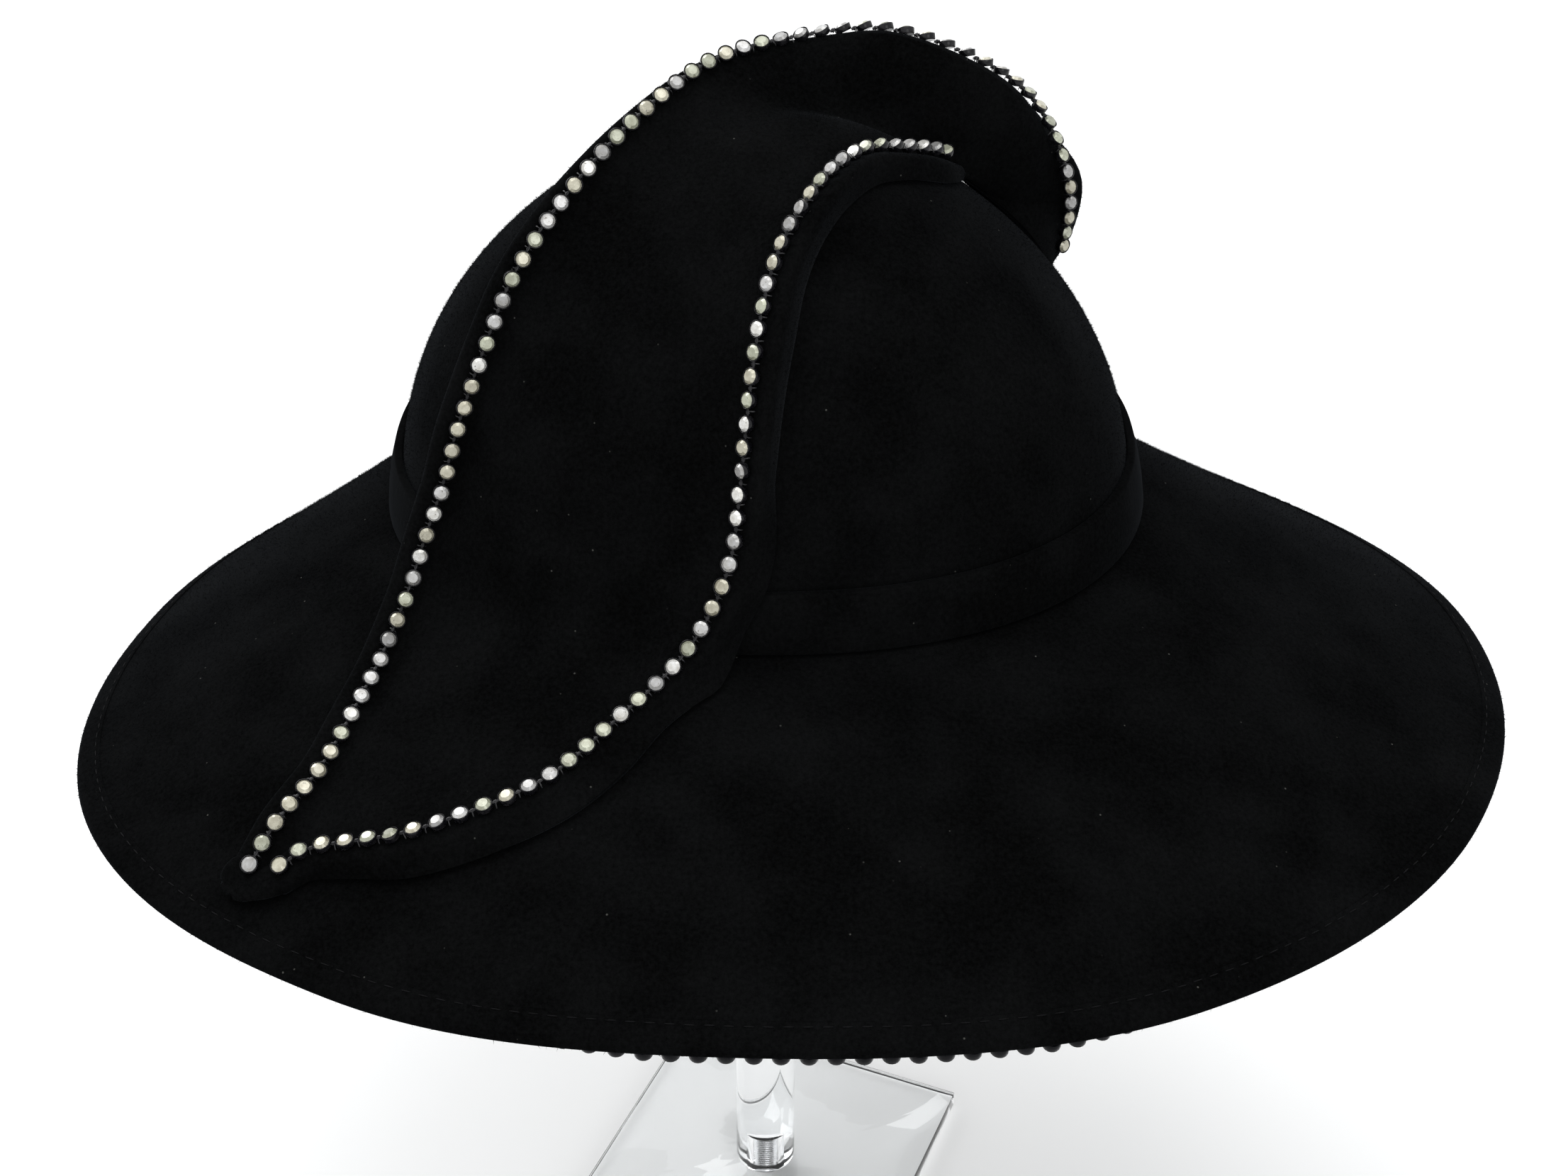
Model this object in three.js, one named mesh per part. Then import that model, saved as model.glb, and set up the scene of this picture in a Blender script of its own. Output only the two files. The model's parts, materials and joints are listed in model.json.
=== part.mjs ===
// A felt picture hat with a wide drooping brim, a felt band round the crown and a felt wave
// that runs from the front of the brim up over the crown. Both rims of the wave carry a row of
// stones in cups, and a third row of cups hangs under the edge of the brim. The hat stands on
// a plain clear stand: a square plate, a screw, a round rod and a disc under the crown.
// Millimetres, +Z up. The origin is under the rod, on the bottom face of the plate.
import * as THREE from 'three';
import { mergeVertices } from 'three/addons/utils/BufferGeometryUtils.js';

// Gap kept between neighbouring pieces
const GAP = 0.3;

// Felt
const FELT = 2.2;
const WAVE_FELT = 2;

// Crown: a dome on an oval base that leans a little to the left
const CROWN_BASE = 285.5;
const CROWN_HALF_LENGTH = 102;
const CROWN_HALF_WIDTH = 88;
const CROWN_RISE = 105;
const CROWN_LEAN = -2;
const OVAL_POWER = 2.2;
const DOME_POWER = 2.1;
const SHOULDER_POWER = 1.5;
const CROWN_SIDES = 36;
const CROWN_LEVELS = [0, 0.2, 0.4, 0.58, 0.74, 0.87, 0.96];

// Band round the foot of the crown
const BAND_HEIGHT = 15.8;
const BAND_FELT = 2.2;
const BAND_LEAN = 2.1;
const BAND_RAMP = 2.6;

// Brim: how far its edge reaches from the axis and how high the edge lies, turn by turn
const BRIM_EDGE = [
  { turn: 0, reach: 206, height: 238 },
  { turn: 30, reach: 173, height: 234 },
  { turn: 60, reach: 161, height: 230 },
  { turn: 90, reach: 165, height: 229 },
  { turn: 120, reach: 160, height: 230 },
  { turn: 150, reach: 160, height: 233 },
  { turn: 180, reach: 181.5, height: 238 },
  { turn: 210, reach: 202.5, height: 243 },
  { turn: 240, reach: 199, height: 247 },
  { turn: 270, reach: 192, height: 248 },
  { turn: 300, reach: 201, height: 244.5 },
  { turn: 330, reach: 211, height: 243 },
];
const BRIM_FELT = 2.4;
const HEM_WIDTH = 6.8;
const HEM_STEP = 0.5;
const BRIM_DROOP_POWER = 1.05;
const BRIM_BACK_FLATTENING = 0.25;
const BRIM_SIDES = 44;
const BRIM_COLLAR = 0.03;
const BRIM_INNER_PART = 0.3;
const BRIM_OUTER_PART = 0.65;
const HEM_RAMP = 0.01;
const BRIM_SLOPE_FACTOR = 0.94;
const BRIM_MAX_PART = 1.2;

// How a point is drawn on to the hat, step by step
const DRAW_STEPS = 16;
const DRAW_EASE = 0.8;
const NORMAL_REACH = 0.5;

// Wave: where the stones of its outer and inner rows lie, section by section from the front
// tip, how far the felt's middle reaches past the outer row, how far off its inner foot is,
// whether its inner edge stands as a fold or lies flat, and how loosely the rows hang on it
const WAVE_SECTIONS = [
  { ox: -122, oy: -141, oz: 259, ix: -116, iy: -145, iz: 260, edge: 4, foot: 2.5, fold: 1, slack: 0 },
  { ox: -116, oy: -133, oz: 266, ix: -109, iy: -141, iz: 264, edge: 4.2, foot: 5, fold: 1, slack: 0 },
  { ox: -107, oy: -117, oz: 271, ix: -96, iy: -141, iz: 267, edge: 4.2, foot: 7.5, fold: 1, slack: 0 },
  { ox: -101, oy: -102, oz: 276, ix: -85, iy: -142, iz: 270, edge: 4.2, foot: 9, fold: 1, slack: 0 },
  { ox: -96, oy: -87, oz: 283, ix: -69, iy: -139, iz: 274, edge: 3.8, foot: 9.3, fold: 1, slack: 0 },
  { ox: -91, oy: -74, oz: 292, ix: -51, iy: -131, iz: 278, edge: 3.6, foot: 9.3, fold: 1, slack: 0 },
  { ox: -86, oy: -66, oz: 305, ix: -35, iy: -116, iz: 284, edge: 3.4, foot: 9.3, fold: 1, slack: 0 },
  { ox: -80, oy: -60, oz: 320, ix: -19, iy: -103, iz: 294, edge: 3.4, foot: 9.3, fold: 1, slack: 0 },
  { ox: -75, oy: -55, oz: 336, ix: -9, iy: -94, iz: 311, edge: 3.2, foot: 9.3, fold: 1, slack: 0 },
  { ox: -69, oy: -49, oz: 351, ix: -6, iy: -86, iz: 332, edge: 2.8, foot: 9.3, fold: 1, slack: 0 },
  { ox: -62, oy: -42, oz: 366, ix: -4, iy: -79, iz: 350, edge: 2.4, foot: 9.3, fold: 1, slack: 0 },
  { ox: -50, oy: -30, oz: 381, ix: -1, iy: -67, iz: 367, edge: 2.1, foot: 9.3, fold: 1, slack: 0 },
  { ox: -33, oy: -12, oz: 395, ix: 3, iy: -55, iz: 378, edge: 1.6, foot: 9.3, fold: 1, slack: 0 },
  { ox: -14, oy: 7, oz: 404, ix: 9, iy: -43, iz: 385, edge: 1.3, foot: 9.3, fold: 1, slack: 0 },
  { ox: 8, oy: 22, oz: 406, ix: 17, iy: -28, iz: 389, edge: 1.2, foot: 9.3, fold: 1, slack: 0 },
  { ox: 31, oy: 26, oz: 407, ix: 26, iy: -14, iz: 389, edge: 1.8, foot: 9, fold: 1, slack: 0 },
  { ox: 53, oy: 21, oz: 402, ix: 35, iy: -5, iz: 386, edge: 3, foot: 8.5, fold: 1, slack: 0.2 },
  { ox: 73, oy: 27, oz: 387, ix: 48, iy: 9, iz: 379, edge: 4.6, foot: 8, fold: 1, slack: 0.6 },
  { ox: 85, oy: 32, oz: 361, ix: 56, iy: 28, iz: 365, edge: 6.5, foot: 7, fold: 0, slack: 1.1 },
  { ox: 86, oy: 43, oz: 333, ix: 65, iy: 40, iz: 350, edge: 7.5, foot: 7, fold: 0, slack: 1.3 },
  { ox: 84, oy: 56, oz: 316, ix: 71, iy: 54, iz: 331, edge: 5, foot: 7, fold: 0, slack: 1.3 },
];

// The way the stones of each row face, at some of those sections
const OUTER_FACING = [
  { section: 0, x: -0.06, y: -0.64, z: 0.77 },
  { section: 3, x: 0.18, y: -0.7, z: 0.69 },
  { section: 5, x: 0.29, y: -0.74, z: 0.6 },
  { section: 7, x: 0.35, y: -0.9, z: 0.28 },
  { section: 9, x: 0.34, y: -0.9, z: 0.27 },
  { section: 11, x: 0.4, y: -0.77, z: 0.49 },
  { section: 13, x: 0.3, y: -0.6, z: 0.75 },
  { section: 14, x: 0.2, y: 0, z: 0.98 },
  { section: 15, x: 0.2, y: 0.5, z: 0.85 },
  { section: 16.5, x: 0.4, y: 0.3, z: 0.8 },
  { section: 17.5, x: 0.7, y: -0.3, z: 0.5 },
  { section: 18.2, x: 0.4, y: -0.9, z: 0.3 },
  { section: 19, x: 0.6, y: -0.8, z: 0 },
  { section: 20, x: 0.7, y: -0.7, z: 0 },
];
const INNER_FACING = [
  { section: 0, x: -0.15, y: -0.3, z: 0.94 },
  { section: 2, x: -0.05, y: -0.05, z: 1 },
  { section: 4, x: -0.1, y: -0.1, z: 0.99 },
  { section: 5, x: -0.22, y: -0.32, z: 0.92 },
  { section: 6, x: -0.18, y: -0.6, z: 0.77 },
  { section: 8, x: -0.27, y: -0.8, z: 0.53 },
  { section: 9, x: -0.72, y: -0.56, z: 0.36 },
  { section: 10, x: -0.7, y: -0.62, z: 0.33 },
  { section: 11, x: -0.55, y: -0.45, z: 0.7 },
  { section: 13, x: -0.6, y: -0.05, z: 0.8 },
  { section: 15, x: -0.2, y: 0.2, z: 0.95 },
  { section: 17, x: 0.2, y: 0.2, z: 0.95 },
  { section: 20, x: 0.6, y: 0.5, z: 0.6 },
];
const WAVE_STATIONS = 37;
const SEAT_OUTWARD = 2.5;
const SEAT_INWARD = 3.3;
const SEAT_SHARE = 0.7;
const CREST_ROUNDING = 0.7;
const CREST_DEPTH = 3;
const OUTER_FOOT = 1.5;
const INNER_EDGE = 3.6;
const FOOT_SINK = 6;
const FLOOR_LIFT = 2.4;
const CLEAR_LIFT = 1.9;
const STONE_LIFT = 5.9;
const FOOT_LIFT = 0.75;
const FLOOR_REACH = 13;
const FLOOR_SHARE = 0.36;
const NOSE = new THREE.Vector3(-8.5, -3, -1.5);
const NOSE_TURNS = [32, 62, 84];

// Stones in cups, joined by links
const CUP_RADIUS = 2.2;
const CUP_HEIGHT = 1.7;
const CUP_FOOT_RADIUS = 2.11;
const TABLE_RADIUS = 1.05;
const STONE_HEIGHT = 2.5;
const CUP_SIDES = 8;
const PITCH = 5.75;
const SEAT_GAP = 0.55;
const SEAT_DEPTH = WAVE_FELT / 2 + SEAT_GAP + CUP_HEIGHT;
const OUTER_ROW = { start: 0, end: 0.965 };
const INNER_ROW = { start: 2.6, end: 0.856 };

// Row of cups under the edge of the brim
const BRIM_ROW_RADIUS = 1.9;
const BRIM_ROW_INSET = 3.2;
const BRIM_ROW_STEPS = 56;
const BRIM_ROW_GAP = 0.75;
const BRIM_ROW_POINTS = 72;
const BRIM_ROW_SIDES = 8;
const BRIM_ROW_TURN_GAP = 0.004;

// Stand
const PLATE_SIDE = 106;
const PLATE_THICKNESS = 6;
const PLATE_TURN = -22.9;
const HOLE_SEGMENTS = 12;
const ROD_RADIUS = 10.25;
const ROD_SIDES = 20;
const DISC_RADIUS = 50;
const DISC_THICKNESS = 5;
const DISC_CHAMFER = 1;
const DISC_ROOM = 0.5;
const DISC_SIDES = 28;
const SCREW_RADIUS = 3;
const SCREW_HEAD_RADIUS = 5.6;
const SCREW_REACH = 13;
const SCREW_SIDES = 16;

// The hat sits a little to the right of the rod
const HAT_SHIFT = 1.6;

const radians = THREE.MathUtils.degToRad;
const mix = THREE.MathUtils.lerp;

// Smooth value of one column of the brim's table at a turn in radians
function brimValue(column, turn) {
  const step = (2 * Math.PI) / BRIM_EDGE.length;
  const place = (((turn / step) % BRIM_EDGE.length) + BRIM_EDGE.length) % BRIM_EDGE.length;
  const row = Math.floor(place);
  const part = place - row;
  const at = (k) => BRIM_EDGE[(row + k + BRIM_EDGE.length) % BRIM_EDGE.length][column];
  const slopeHere = (at(1) - at(-1)) / 2;
  const slopeNext = (at(2) - at(0)) / 2;
  const rise = at(1) - at(0);
  const square = 3 * rise - 2 * slopeHere - slopeNext;
  const cube = slopeHere + slopeNext - 2 * rise;
  return at(0) + part * (slopeHere + part * (square + part * cube));
}

// Radius factor of the crown's oval in a direction
function ovalFactor(turn) {
  const across = Math.abs(Math.cos(turn)) ** OVAL_POWER;
  const along = Math.abs(Math.sin(turn)) ** OVAL_POWER;
  return (across + along) ** (-1 / OVAL_POWER);
}

// Point on the crown's oval, at a height from 0 at the foot to 1 at the top, set out or in
function crownPoint(turn, height, offset) {
  const shrink = Math.max(0, 1 - height ** DOME_POWER) ** (1 / SHOULDER_POWER);
  const factor = ovalFactor(turn);
  const x = CROWN_LEAN * height + (CROWN_HALF_LENGTH * shrink + offset) * factor * Math.cos(turn);
  const y = (CROWN_HALF_WIDTH * shrink + offset) * factor * Math.sin(turn);
  return new THREE.Vector3(x, y, CROWN_BASE + CROWN_RISE * height);
}

// Point on the brim's upper face, from 0 at the crown to 1 at the edge
function brimPoint(turn, part) {
  const foot = crownPoint(turn, 0, 0);
  const reach = brimValue('reach', turn);
  const edge = new THREE.Vector3(reach * Math.cos(turn), reach * Math.sin(turn), 0);
  const power = BRIM_DROOP_POWER - BRIM_BACK_FLATTENING * Math.sin(turn);
  const point = foot.clone().lerp(edge, part);
  point.z = mix(CROWN_BASE - GAP, brimValue('height', turn), Math.max(0, part) ** power);
  return point;
}

// Distance from a point to the crown with its band, less than zero inside
function crownDistance(point) {
  const height = Math.max(0, (point.z - CROWN_BASE) / CROWN_RISE);
  const across = Math.abs((point.x - CROWN_LEAN * height) / CROWN_HALF_LENGTH) ** OVAL_POWER;
  const along = Math.abs(point.y / CROWN_HALF_WIDTH) ** OVAL_POWER;
  const radius = (across + along) ** (1 / OVAL_POWER);
  const level = radius ** SHOULDER_POWER + height ** DOME_POWER - 1;
  const steepness = Math.hypot(
    (SHOULDER_POWER * radius ** (SHOULDER_POWER - 1)) / CROWN_HALF_WIDTH,
    (DOME_POWER * height ** (DOME_POWER - 1)) / CROWN_RISE,
  );
  const lift = point.z - CROWN_BASE;
  const lean = BAND_LEAN * THREE.MathUtils.clamp(1 - lift / BAND_HEIGHT, 0, 1);
  const ramp = THREE.MathUtils.clamp(BAND_RAMP - (lift - BAND_HEIGHT) / BAND_FELT, 0, 1);
  return level / Math.max(steepness, 1e-4) - (BAND_FELT + GAP + lean) * ramp;
}

// Distance from a point to the brim's upper face
function brimDistance(point) {
  const turn = Math.atan2(point.y, point.x);
  const foot = crownPoint(turn, 0, 0);
  const inner = Math.hypot(foot.x, foot.y);
  const part = (Math.hypot(point.x, point.y) - inner) / (brimValue('reach', turn) - inner);
  const top = brimPoint(turn, THREE.MathUtils.clamp(part, 0, BRIM_MAX_PART));
  return (point.z - top.z) * BRIM_SLOPE_FACTOR;
}

function hatDistance(point) {
  return Math.min(crownDistance(point), brimDistance(point));
}

// Direction away from the hat at a point
function hatNormal(point) {
  const normal = new THREE.Vector3();
  for (const axis of ['x', 'y', 'z']) {
    const ahead = point.clone();
    const behind = point.clone();
    ahead[axis] += NORMAL_REACH;
    behind[axis] -= NORMAL_REACH;
    normal[axis] = hatDistance(ahead) - hatDistance(behind);
  }
  return normal.normalize();
}

// Point straight under or over another one, at a given distance from the hat
function onHat(point, lift) {
  const found = point.clone();
  for (let step = 0; step < DRAW_STEPS; step += 1) {
    found.addScaledVector(hatNormal(found), (lift - hatDistance(found)) * DRAW_EASE);
  }
  return found;
}

// Closed mesh from its corners and faces, each face a fan round its first corner
function solid(corners, faces) {
  const positions = corners.flatMap((corner) => corner.toArray());
  const indices = faces.flatMap((face) =>
    face.slice(2).flatMap((corner, place) => [face[0], face[place + 1], corner]),
  );
  const geometry = new THREE.BufferGeometry();
  geometry.setAttribute('position', new THREE.Float32BufferAttribute(positions, 3));
  geometry.setIndex(indices);
  return geometry;
}

// Faces between rings of equal length, each ring closed on itself
function ringFaces(ringCount, ringLength, closed) {
  const faces = [];
  const spans = closed ? ringCount : ringCount - 1;
  for (let ring = 0; ring < spans; ring += 1) {
    for (let place = 0; place < ringLength; place += 1) {
      const here = ring * ringLength;
      const next = ((ring + 1) % ringCount) * ringLength;
      const after = (place + 1) % ringLength;
      faces.push([here + place, next + place, next + after]);
      faces.push([here + place, next + after, here + after]);
    }
  }
  return faces;
}

// Hollow dome: outer and inner walls joined at the foot and closed at the top
function makeCrown() {
  const sides = CROWN_SIDES;
  const wall = (offset, drop) =>
    CROWN_LEVELS.map((height) =>
      Array.from({ length: sides }, (_, side) => {
        const point = crownPoint((2 * Math.PI * side) / sides, height, offset);
        point.z -= height * drop;
        return point;
      }),
    );
  const rings = [...wall(-FELT, FELT).reverse(), ...wall(0, 0)];
  const corners = rings.flat();
  const faces = ringFaces(rings.length, sides, false).map((face) => face.reverse());
  const top = new THREE.Vector3(CROWN_LEAN, 0, CROWN_BASE + CROWN_RISE);
  const innerTop = top.clone().setZ(top.z - FELT);
  corners.push(innerTop, top);
  const last = (rings.length - 1) * sides;
  for (let side = 0; side < sides; side += 1) {
    const after = (side + 1) % sides;
    faces.push([side, after, corners.length - 2].reverse());
    faces.push([last + side, last + after, corners.length - 1]);
  }
  return solid(corners, faces);
}

// Ring swept round the hat from one closed section for each turn
function makeRing(sides, sectionAt) {
  const rings = Array.from({ length: sides }, (_, side) => sectionAt((2 * Math.PI * side) / sides));
  return solid(rings.flat(), ringFaces(sides, rings[0].length, true));
}

function makeBand() {
  const top = BAND_HEIGHT / CROWN_RISE;
  return makeRing(CROWN_SIDES, (turn) => {
    const corner = (height, offset) => crownPoint(turn, height, offset);
    return [
      corner(0, GAP + BAND_LEAN),
      corner(0, GAP + BAND_LEAN + BAND_FELT),
      corner(top, GAP + BAND_FELT),
      corner(top, GAP),
    ];
  });
}

// Felt brim with a turned hem, a little thicker along its edge
function makeBrim() {
  return makeRing(BRIM_SIDES, (turn) => {
    const reach = brimValue('reach', turn);
    const foot = crownPoint(turn, 0, 0);
    const width = reach - Math.hypot(foot.x, foot.y);
    const hem = 1 - HEM_WIDTH / width;
    const inner = crownPoint(turn, 0, -FELT);
    inner.z = CROWN_BASE - GAP;
    const face = (part, lift) => {
      const point = brimPoint(turn, part);
      point.z += lift;
      return point;
    };
    const under = inner.clone();
    under.z -= BRIM_FELT;
    return [
      under,
      face(BRIM_INNER_PART, -BRIM_FELT),
      face(BRIM_OUTER_PART, -BRIM_FELT),
      face(hem, -BRIM_FELT),
      face(1, -BRIM_FELT),
      face(1, 0),
      face(hem + HEM_RAMP, 0),
      face(hem, -HEM_STEP),
      face(BRIM_OUTER_PART, -HEM_STEP),
      face(BRIM_INNER_PART, -HEM_STEP),
      face(BRIM_COLLAR, 0),
      inner,
    ];
  });
}

// Smooth curve through the stones of one row
function stoneCurve(side) {
  const centres = WAVE_SECTIONS.map(
    (row) => new THREE.Vector3(row[`${side}x`], row[`${side}y`], row[`${side}z`]),
  );
  return new THREE.CatmullRomCurve3(centres, false, 'centripetal');
}

function waveValue(column, place) {
  const rows = WAVE_SECTIONS.length - 1;
  const row = Math.min(rows - 1, Math.floor(place * rows));
  return mix(WAVE_SECTIONS[row][column], WAVE_SECTIONS[row + 1][column], place * rows - row);
}

const outerCurve = stoneCurve('o');
const innerCurve = stoneCurve('i');

// Facing at a place along the wave, square to the row
function facingAt(table, place, along) {
  const section = place * (WAVE_SECTIONS.length - 1);
  const next = Math.max(1, table.findIndex((row) => row.section >= section));
  const part = (section - table[next - 1].section) / (table[next].section - table[next - 1].section);
  const vector = (row) => new THREE.Vector3(row.x, row.y, row.z);
  const facing = vector(table[next - 1]).lerp(vector(table[next]), part);
  return facing.addScaledVector(along, -facing.dot(along)).normalize();
}

// Middle of a stone at a place along its row, never too close to the hat for felt and cup
function stonePlace(curve, place) {
  const point = curve.getPoint(place);
  return hatDistance(point) < STONE_LIFT ? onHat(point, STONE_LIFT) : point;
}

// Frame of one stone: its middle, the ways it faces and leads out of the trough, and places on
// the felt under it
function stoneFrame(curve, table, place, way) {
  const point = stonePlace(curve, place);
  const facing = facingAt(table, place, curve.getTangent(place));
  const out = new THREE.Vector3().crossVectors(facing, curve.getTangent(place)).multiplyScalar(way);
  const depth = SEAT_DEPTH + waveValue('slack', place);
  const felt = (reach, sink) =>
    point.clone().addScaledVector(facing, -depth - sink).addScaledVector(out, reach);
  return { point, facing, out, felt };
}

// One section across the wave: the middle line of its felt from the outer foot over both rims
// to the inner foot, and the frames of its two stones
function waveSection(place) {
  const outer = stonePlace(outerCurve, place);
  const inner = stonePlace(innerCurve, place);
  const ahead = outerCurve.getTangent(place).add(innerCurve.getTangent(place)).normalize();
  const width = inner.distanceTo(outer);
  const up = hatNormal(outer.clone().lerp(inner, 0.5));
  const left = stoneFrame(outerCurve, OUTER_FACING, place, 1);
  const right = stoneFrame(innerCurve, INNER_FACING, place, -1);
  const foot = (frame, reach) =>
    onHat(frame.point.clone().addScaledVector(frame.out, reach).addScaledVector(up, -FOOT_SINK), FOOT_LIFT);
  const clear = (point) => (hatDistance(point) < CLEAR_LIFT ? onHat(point, CLEAR_LIFT) : point);
  const share = Math.min(FLOOR_REACH, width * FLOOR_SHARE) / width;
  const floor = (part) => onHat(outer.clone().lerp(inner, part), FLOOR_LIFT);
  const edge = waveValue('edge', place);
  const fold = [
    clear(right.felt(-SEAT_INWARD, 0)),
    clear(right.felt(SEAT_OUTWARD, 0)),
    clear(right.felt(INNER_EDGE, CREST_ROUNDING)),
    foot(right, waveValue('foot', place)),
  ];
  const flat = fold.map((_, step) => floor(1 - share + (share * (step + 1)) / fold.length));
  flat.push(onHat(flat.pop(), FOOT_LIFT));
  const line = [
    foot(left, OUTER_FOOT),
    clear(left.felt(edge, CREST_DEPTH)),
    clear(left.felt(edge, CREST_ROUNDING)),
    clear(left.felt(Math.min(SEAT_OUTWARD, edge * SEAT_SHARE), 0)),
    clear(left.felt(-SEAT_INWARD, 0)),
    floor(share),
    floor(0.5),
    floor(1 - share),
    ...fold.map((point, step) => flat[step].clone().lerp(point, waveValue('fold', place))),
  ];
  return { line, ahead, outer: left, inner: right };
}

// Both faces of a sheet whose middle line is given, as one closed section whose two ends lie
// on the hat
function thicken(line, ahead, thickness) {
  const face = (way) =>
    line.map((point, place) => {
      const before = line[Math.max(0, place - 1)];
      const after = line[Math.min(line.length - 1, place + 1)];
      const side = after.clone().sub(before).cross(ahead).normalize();
      const corner = point.clone().addScaledVector(side, (way * thickness) / 2);
      const isEnd = place === 0 || place === line.length - 1;
      return isEnd ? onHat(corner, FOOT_LIFT) : corner;
    });
  return [...face(-1), ...face(1).reverse()];
}

// Middle line of the first section drawn in towards the rounded nose of the wave
function noseLine(section, turn) {
  const heart = section.line[0].clone().lerp(section.line[section.line.length - 1], 0.5);
  return section.line.map((point) => {
    const lift = Math.max(FLOOR_LIFT, hatDistance(point) * Math.cos(turn));
    const drawn = heart.clone().lerp(point, Math.cos(turn));
    drawn.addScaledVector(NOSE, Math.sin(turn));
    return onHat(drawn, lift);
  });
}

function makeWave() {
  const sections = Array.from({ length: WAVE_STATIONS + 1 }, (_, k) => waveSection(k / WAVE_STATIONS));
  const nose = NOSE_TURNS.map((turn) => noseLine(sections[0], radians(turn))).reverse();
  const rings = [
    ...nose.map((line) => thicken(line, sections[0].ahead, WAVE_FELT)),
    ...sections.map((section) => thicken(section.line, section.ahead, WAVE_FELT)),
  ];
  const length = rings[0].length;
  const faces = ringFaces(rings.length, length, false);
  const last = (rings.length - 1) * length;
  for (let place = 0; place < length / 2 - 1; place += 1) {
    const mirror = length - 1 - place;
    faces.push([place, place + 1, mirror - 1, mirror]);
    faces.push([last + place, last + mirror, last + mirror - 1, last + place + 1]);
  }
  return solid(rings.flat(), faces);
}

// Frames of the stones along one rim, one pitch apart on the felt's flat stretches
function stoneFrames(side, row) {
  const frames = [];
  const knots = Array.from(
    { length: WAVE_STATIONS + 1 },
    (_, station) => waveSection(station / WAVE_STATIONS)[side],
  );
  let walked = row.start;
  for (let station = 0; station < Math.floor(WAVE_STATIONS * row.end); station += 1) {
    const from = knots[station];
    const to = knots[station + 1];
    const length = from.point.distanceTo(to.point);
    for (; walked < length; walked += PITCH) {
      const point = from.point.clone().lerp(to.point, walked / length);
      const along = to.point.clone().sub(from.point).normalize();
      const facing = from.facing.clone().lerp(to.facing, walked / length);
      facing.addScaledVector(along, -facing.dot(along)).normalize();
      frames.push({ point, along, facing });
    }
    walked -= length;
  }
  return frames;
}

// One row of stones: eight-sided cups, each with a stone of eight facets round a flat table,
// joined side to side by links, all one body
function makeStones(frames) {
  const corners = [];
  const faces = [];
  const levels = [
    { radius: CUP_FOOT_RADIUS, height: 0 },
    { radius: CUP_RADIUS, height: CUP_HEIGHT },
    { radius: TABLE_RADIUS, height: STONE_HEIGHT },
  ];
  const ring = CUP_SIDES;
  const perStone = ring * levels.length;
  frames.forEach(({ point, along, facing }, stone) => {
    const beside = new THREE.Vector3().crossVectors(facing, along);
    const seat = point.clone().addScaledVector(facing, -CUP_HEIGHT);
    for (const level of levels) {
      for (let side = 0; side < ring; side += 1) {
        const turn = ((side + 0.5) * 2 * Math.PI) / ring;
        const corner = seat.clone().addScaledVector(facing, level.height);
        corner.addScaledVector(along, level.radius * Math.cos(turn));
        corner.addScaledVector(beside, level.radius * Math.sin(turn));
        corners.push(corner);
      }
    }
    const first = stone * perStone;
    const back = ring / 2 - 1;
    const hasNext = stone < frames.length - 1;
    for (let level = 0; level < 2; level += 1) {
      for (let side = 0; side < ring; side += 1) {
        const opensAhead = side === ring - 1 && level === 0 && hasNext;
        const opensBack = side === back && level === 0 && stone > 0;
        if (opensAhead || opensBack) continue;
        const low = first + level * ring;
        const after = (side + 1) % ring;
        faces.push([low + side, low + after, low + ring + after, low + ring + side]);
      }
    }
    const bottom = Array.from({ length: ring }, (_, side) => first + side);
    faces.push(bottom.slice().reverse());
    faces.push(bottom.map((corner) => corner + 2 * ring));
    if (hasNext) {
      const next = first + perStone;
      const near = [first + ring - 1, first, first + ring, first + 2 * ring - 1];
      const far = [next + back + 1, next + back, next + ring + back, next + ring + back + 1];
      near.forEach((corner, place) => {
        const after = (place + 1) % 4;
        faces.push([corner, near[after], far[after], far[place]]);
      });
    }
  });
  return solid(corners, faces);
}

// Row of cups under the edge of the brim, as one round strand with its two ends at the back
function makeBrimRow() {
  const start = Math.PI / 2 + BRIM_ROW_TURN_GAP;
  const sweep = 2 * (Math.PI - BRIM_ROW_TURN_GAP);
  const points = Array.from({ length: BRIM_ROW_POINTS + 1 }, (_, k) => {
    const turn = start + (sweep * k) / BRIM_ROW_POINTS;
    const reach = brimValue('reach', turn);
    const point = brimPoint(turn, 1 - (2 * BRIM_ROW_INSET) / reach);
    point.z -= BRIM_FELT + BRIM_ROW_RADIUS + BRIM_ROW_GAP;
    return point;
  });
  const section = new THREE.Shape();
  for (let side = 0; side < BRIM_ROW_SIDES; side += 1) {
    const turn = (2 * Math.PI * side) / BRIM_ROW_SIDES;
    const x = BRIM_ROW_RADIUS * Math.cos(turn);
    const y = BRIM_ROW_RADIUS * Math.sin(turn);
    if (side === 0) section.moveTo(x, y);
    else section.lineTo(x, y);
  }
  section.closePath();
  const path = new THREE.CatmullRomCurve3(points, false, 'centripetal');
  return new THREE.ExtrudeGeometry(section, { steps: BRIM_ROW_STEPS, extrudePath: path, bevelEnabled: false });
}

// Turned body from a closed profile of radius and height pairs
function turned(profile, sides) {
  const points = profile.map(([radius, height]) => new THREE.Vector2(radius, height));
  const geometry = new THREE.LatheGeometry(points, sides);
  return geometry.rotateX(Math.PI / 2);
}

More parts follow.
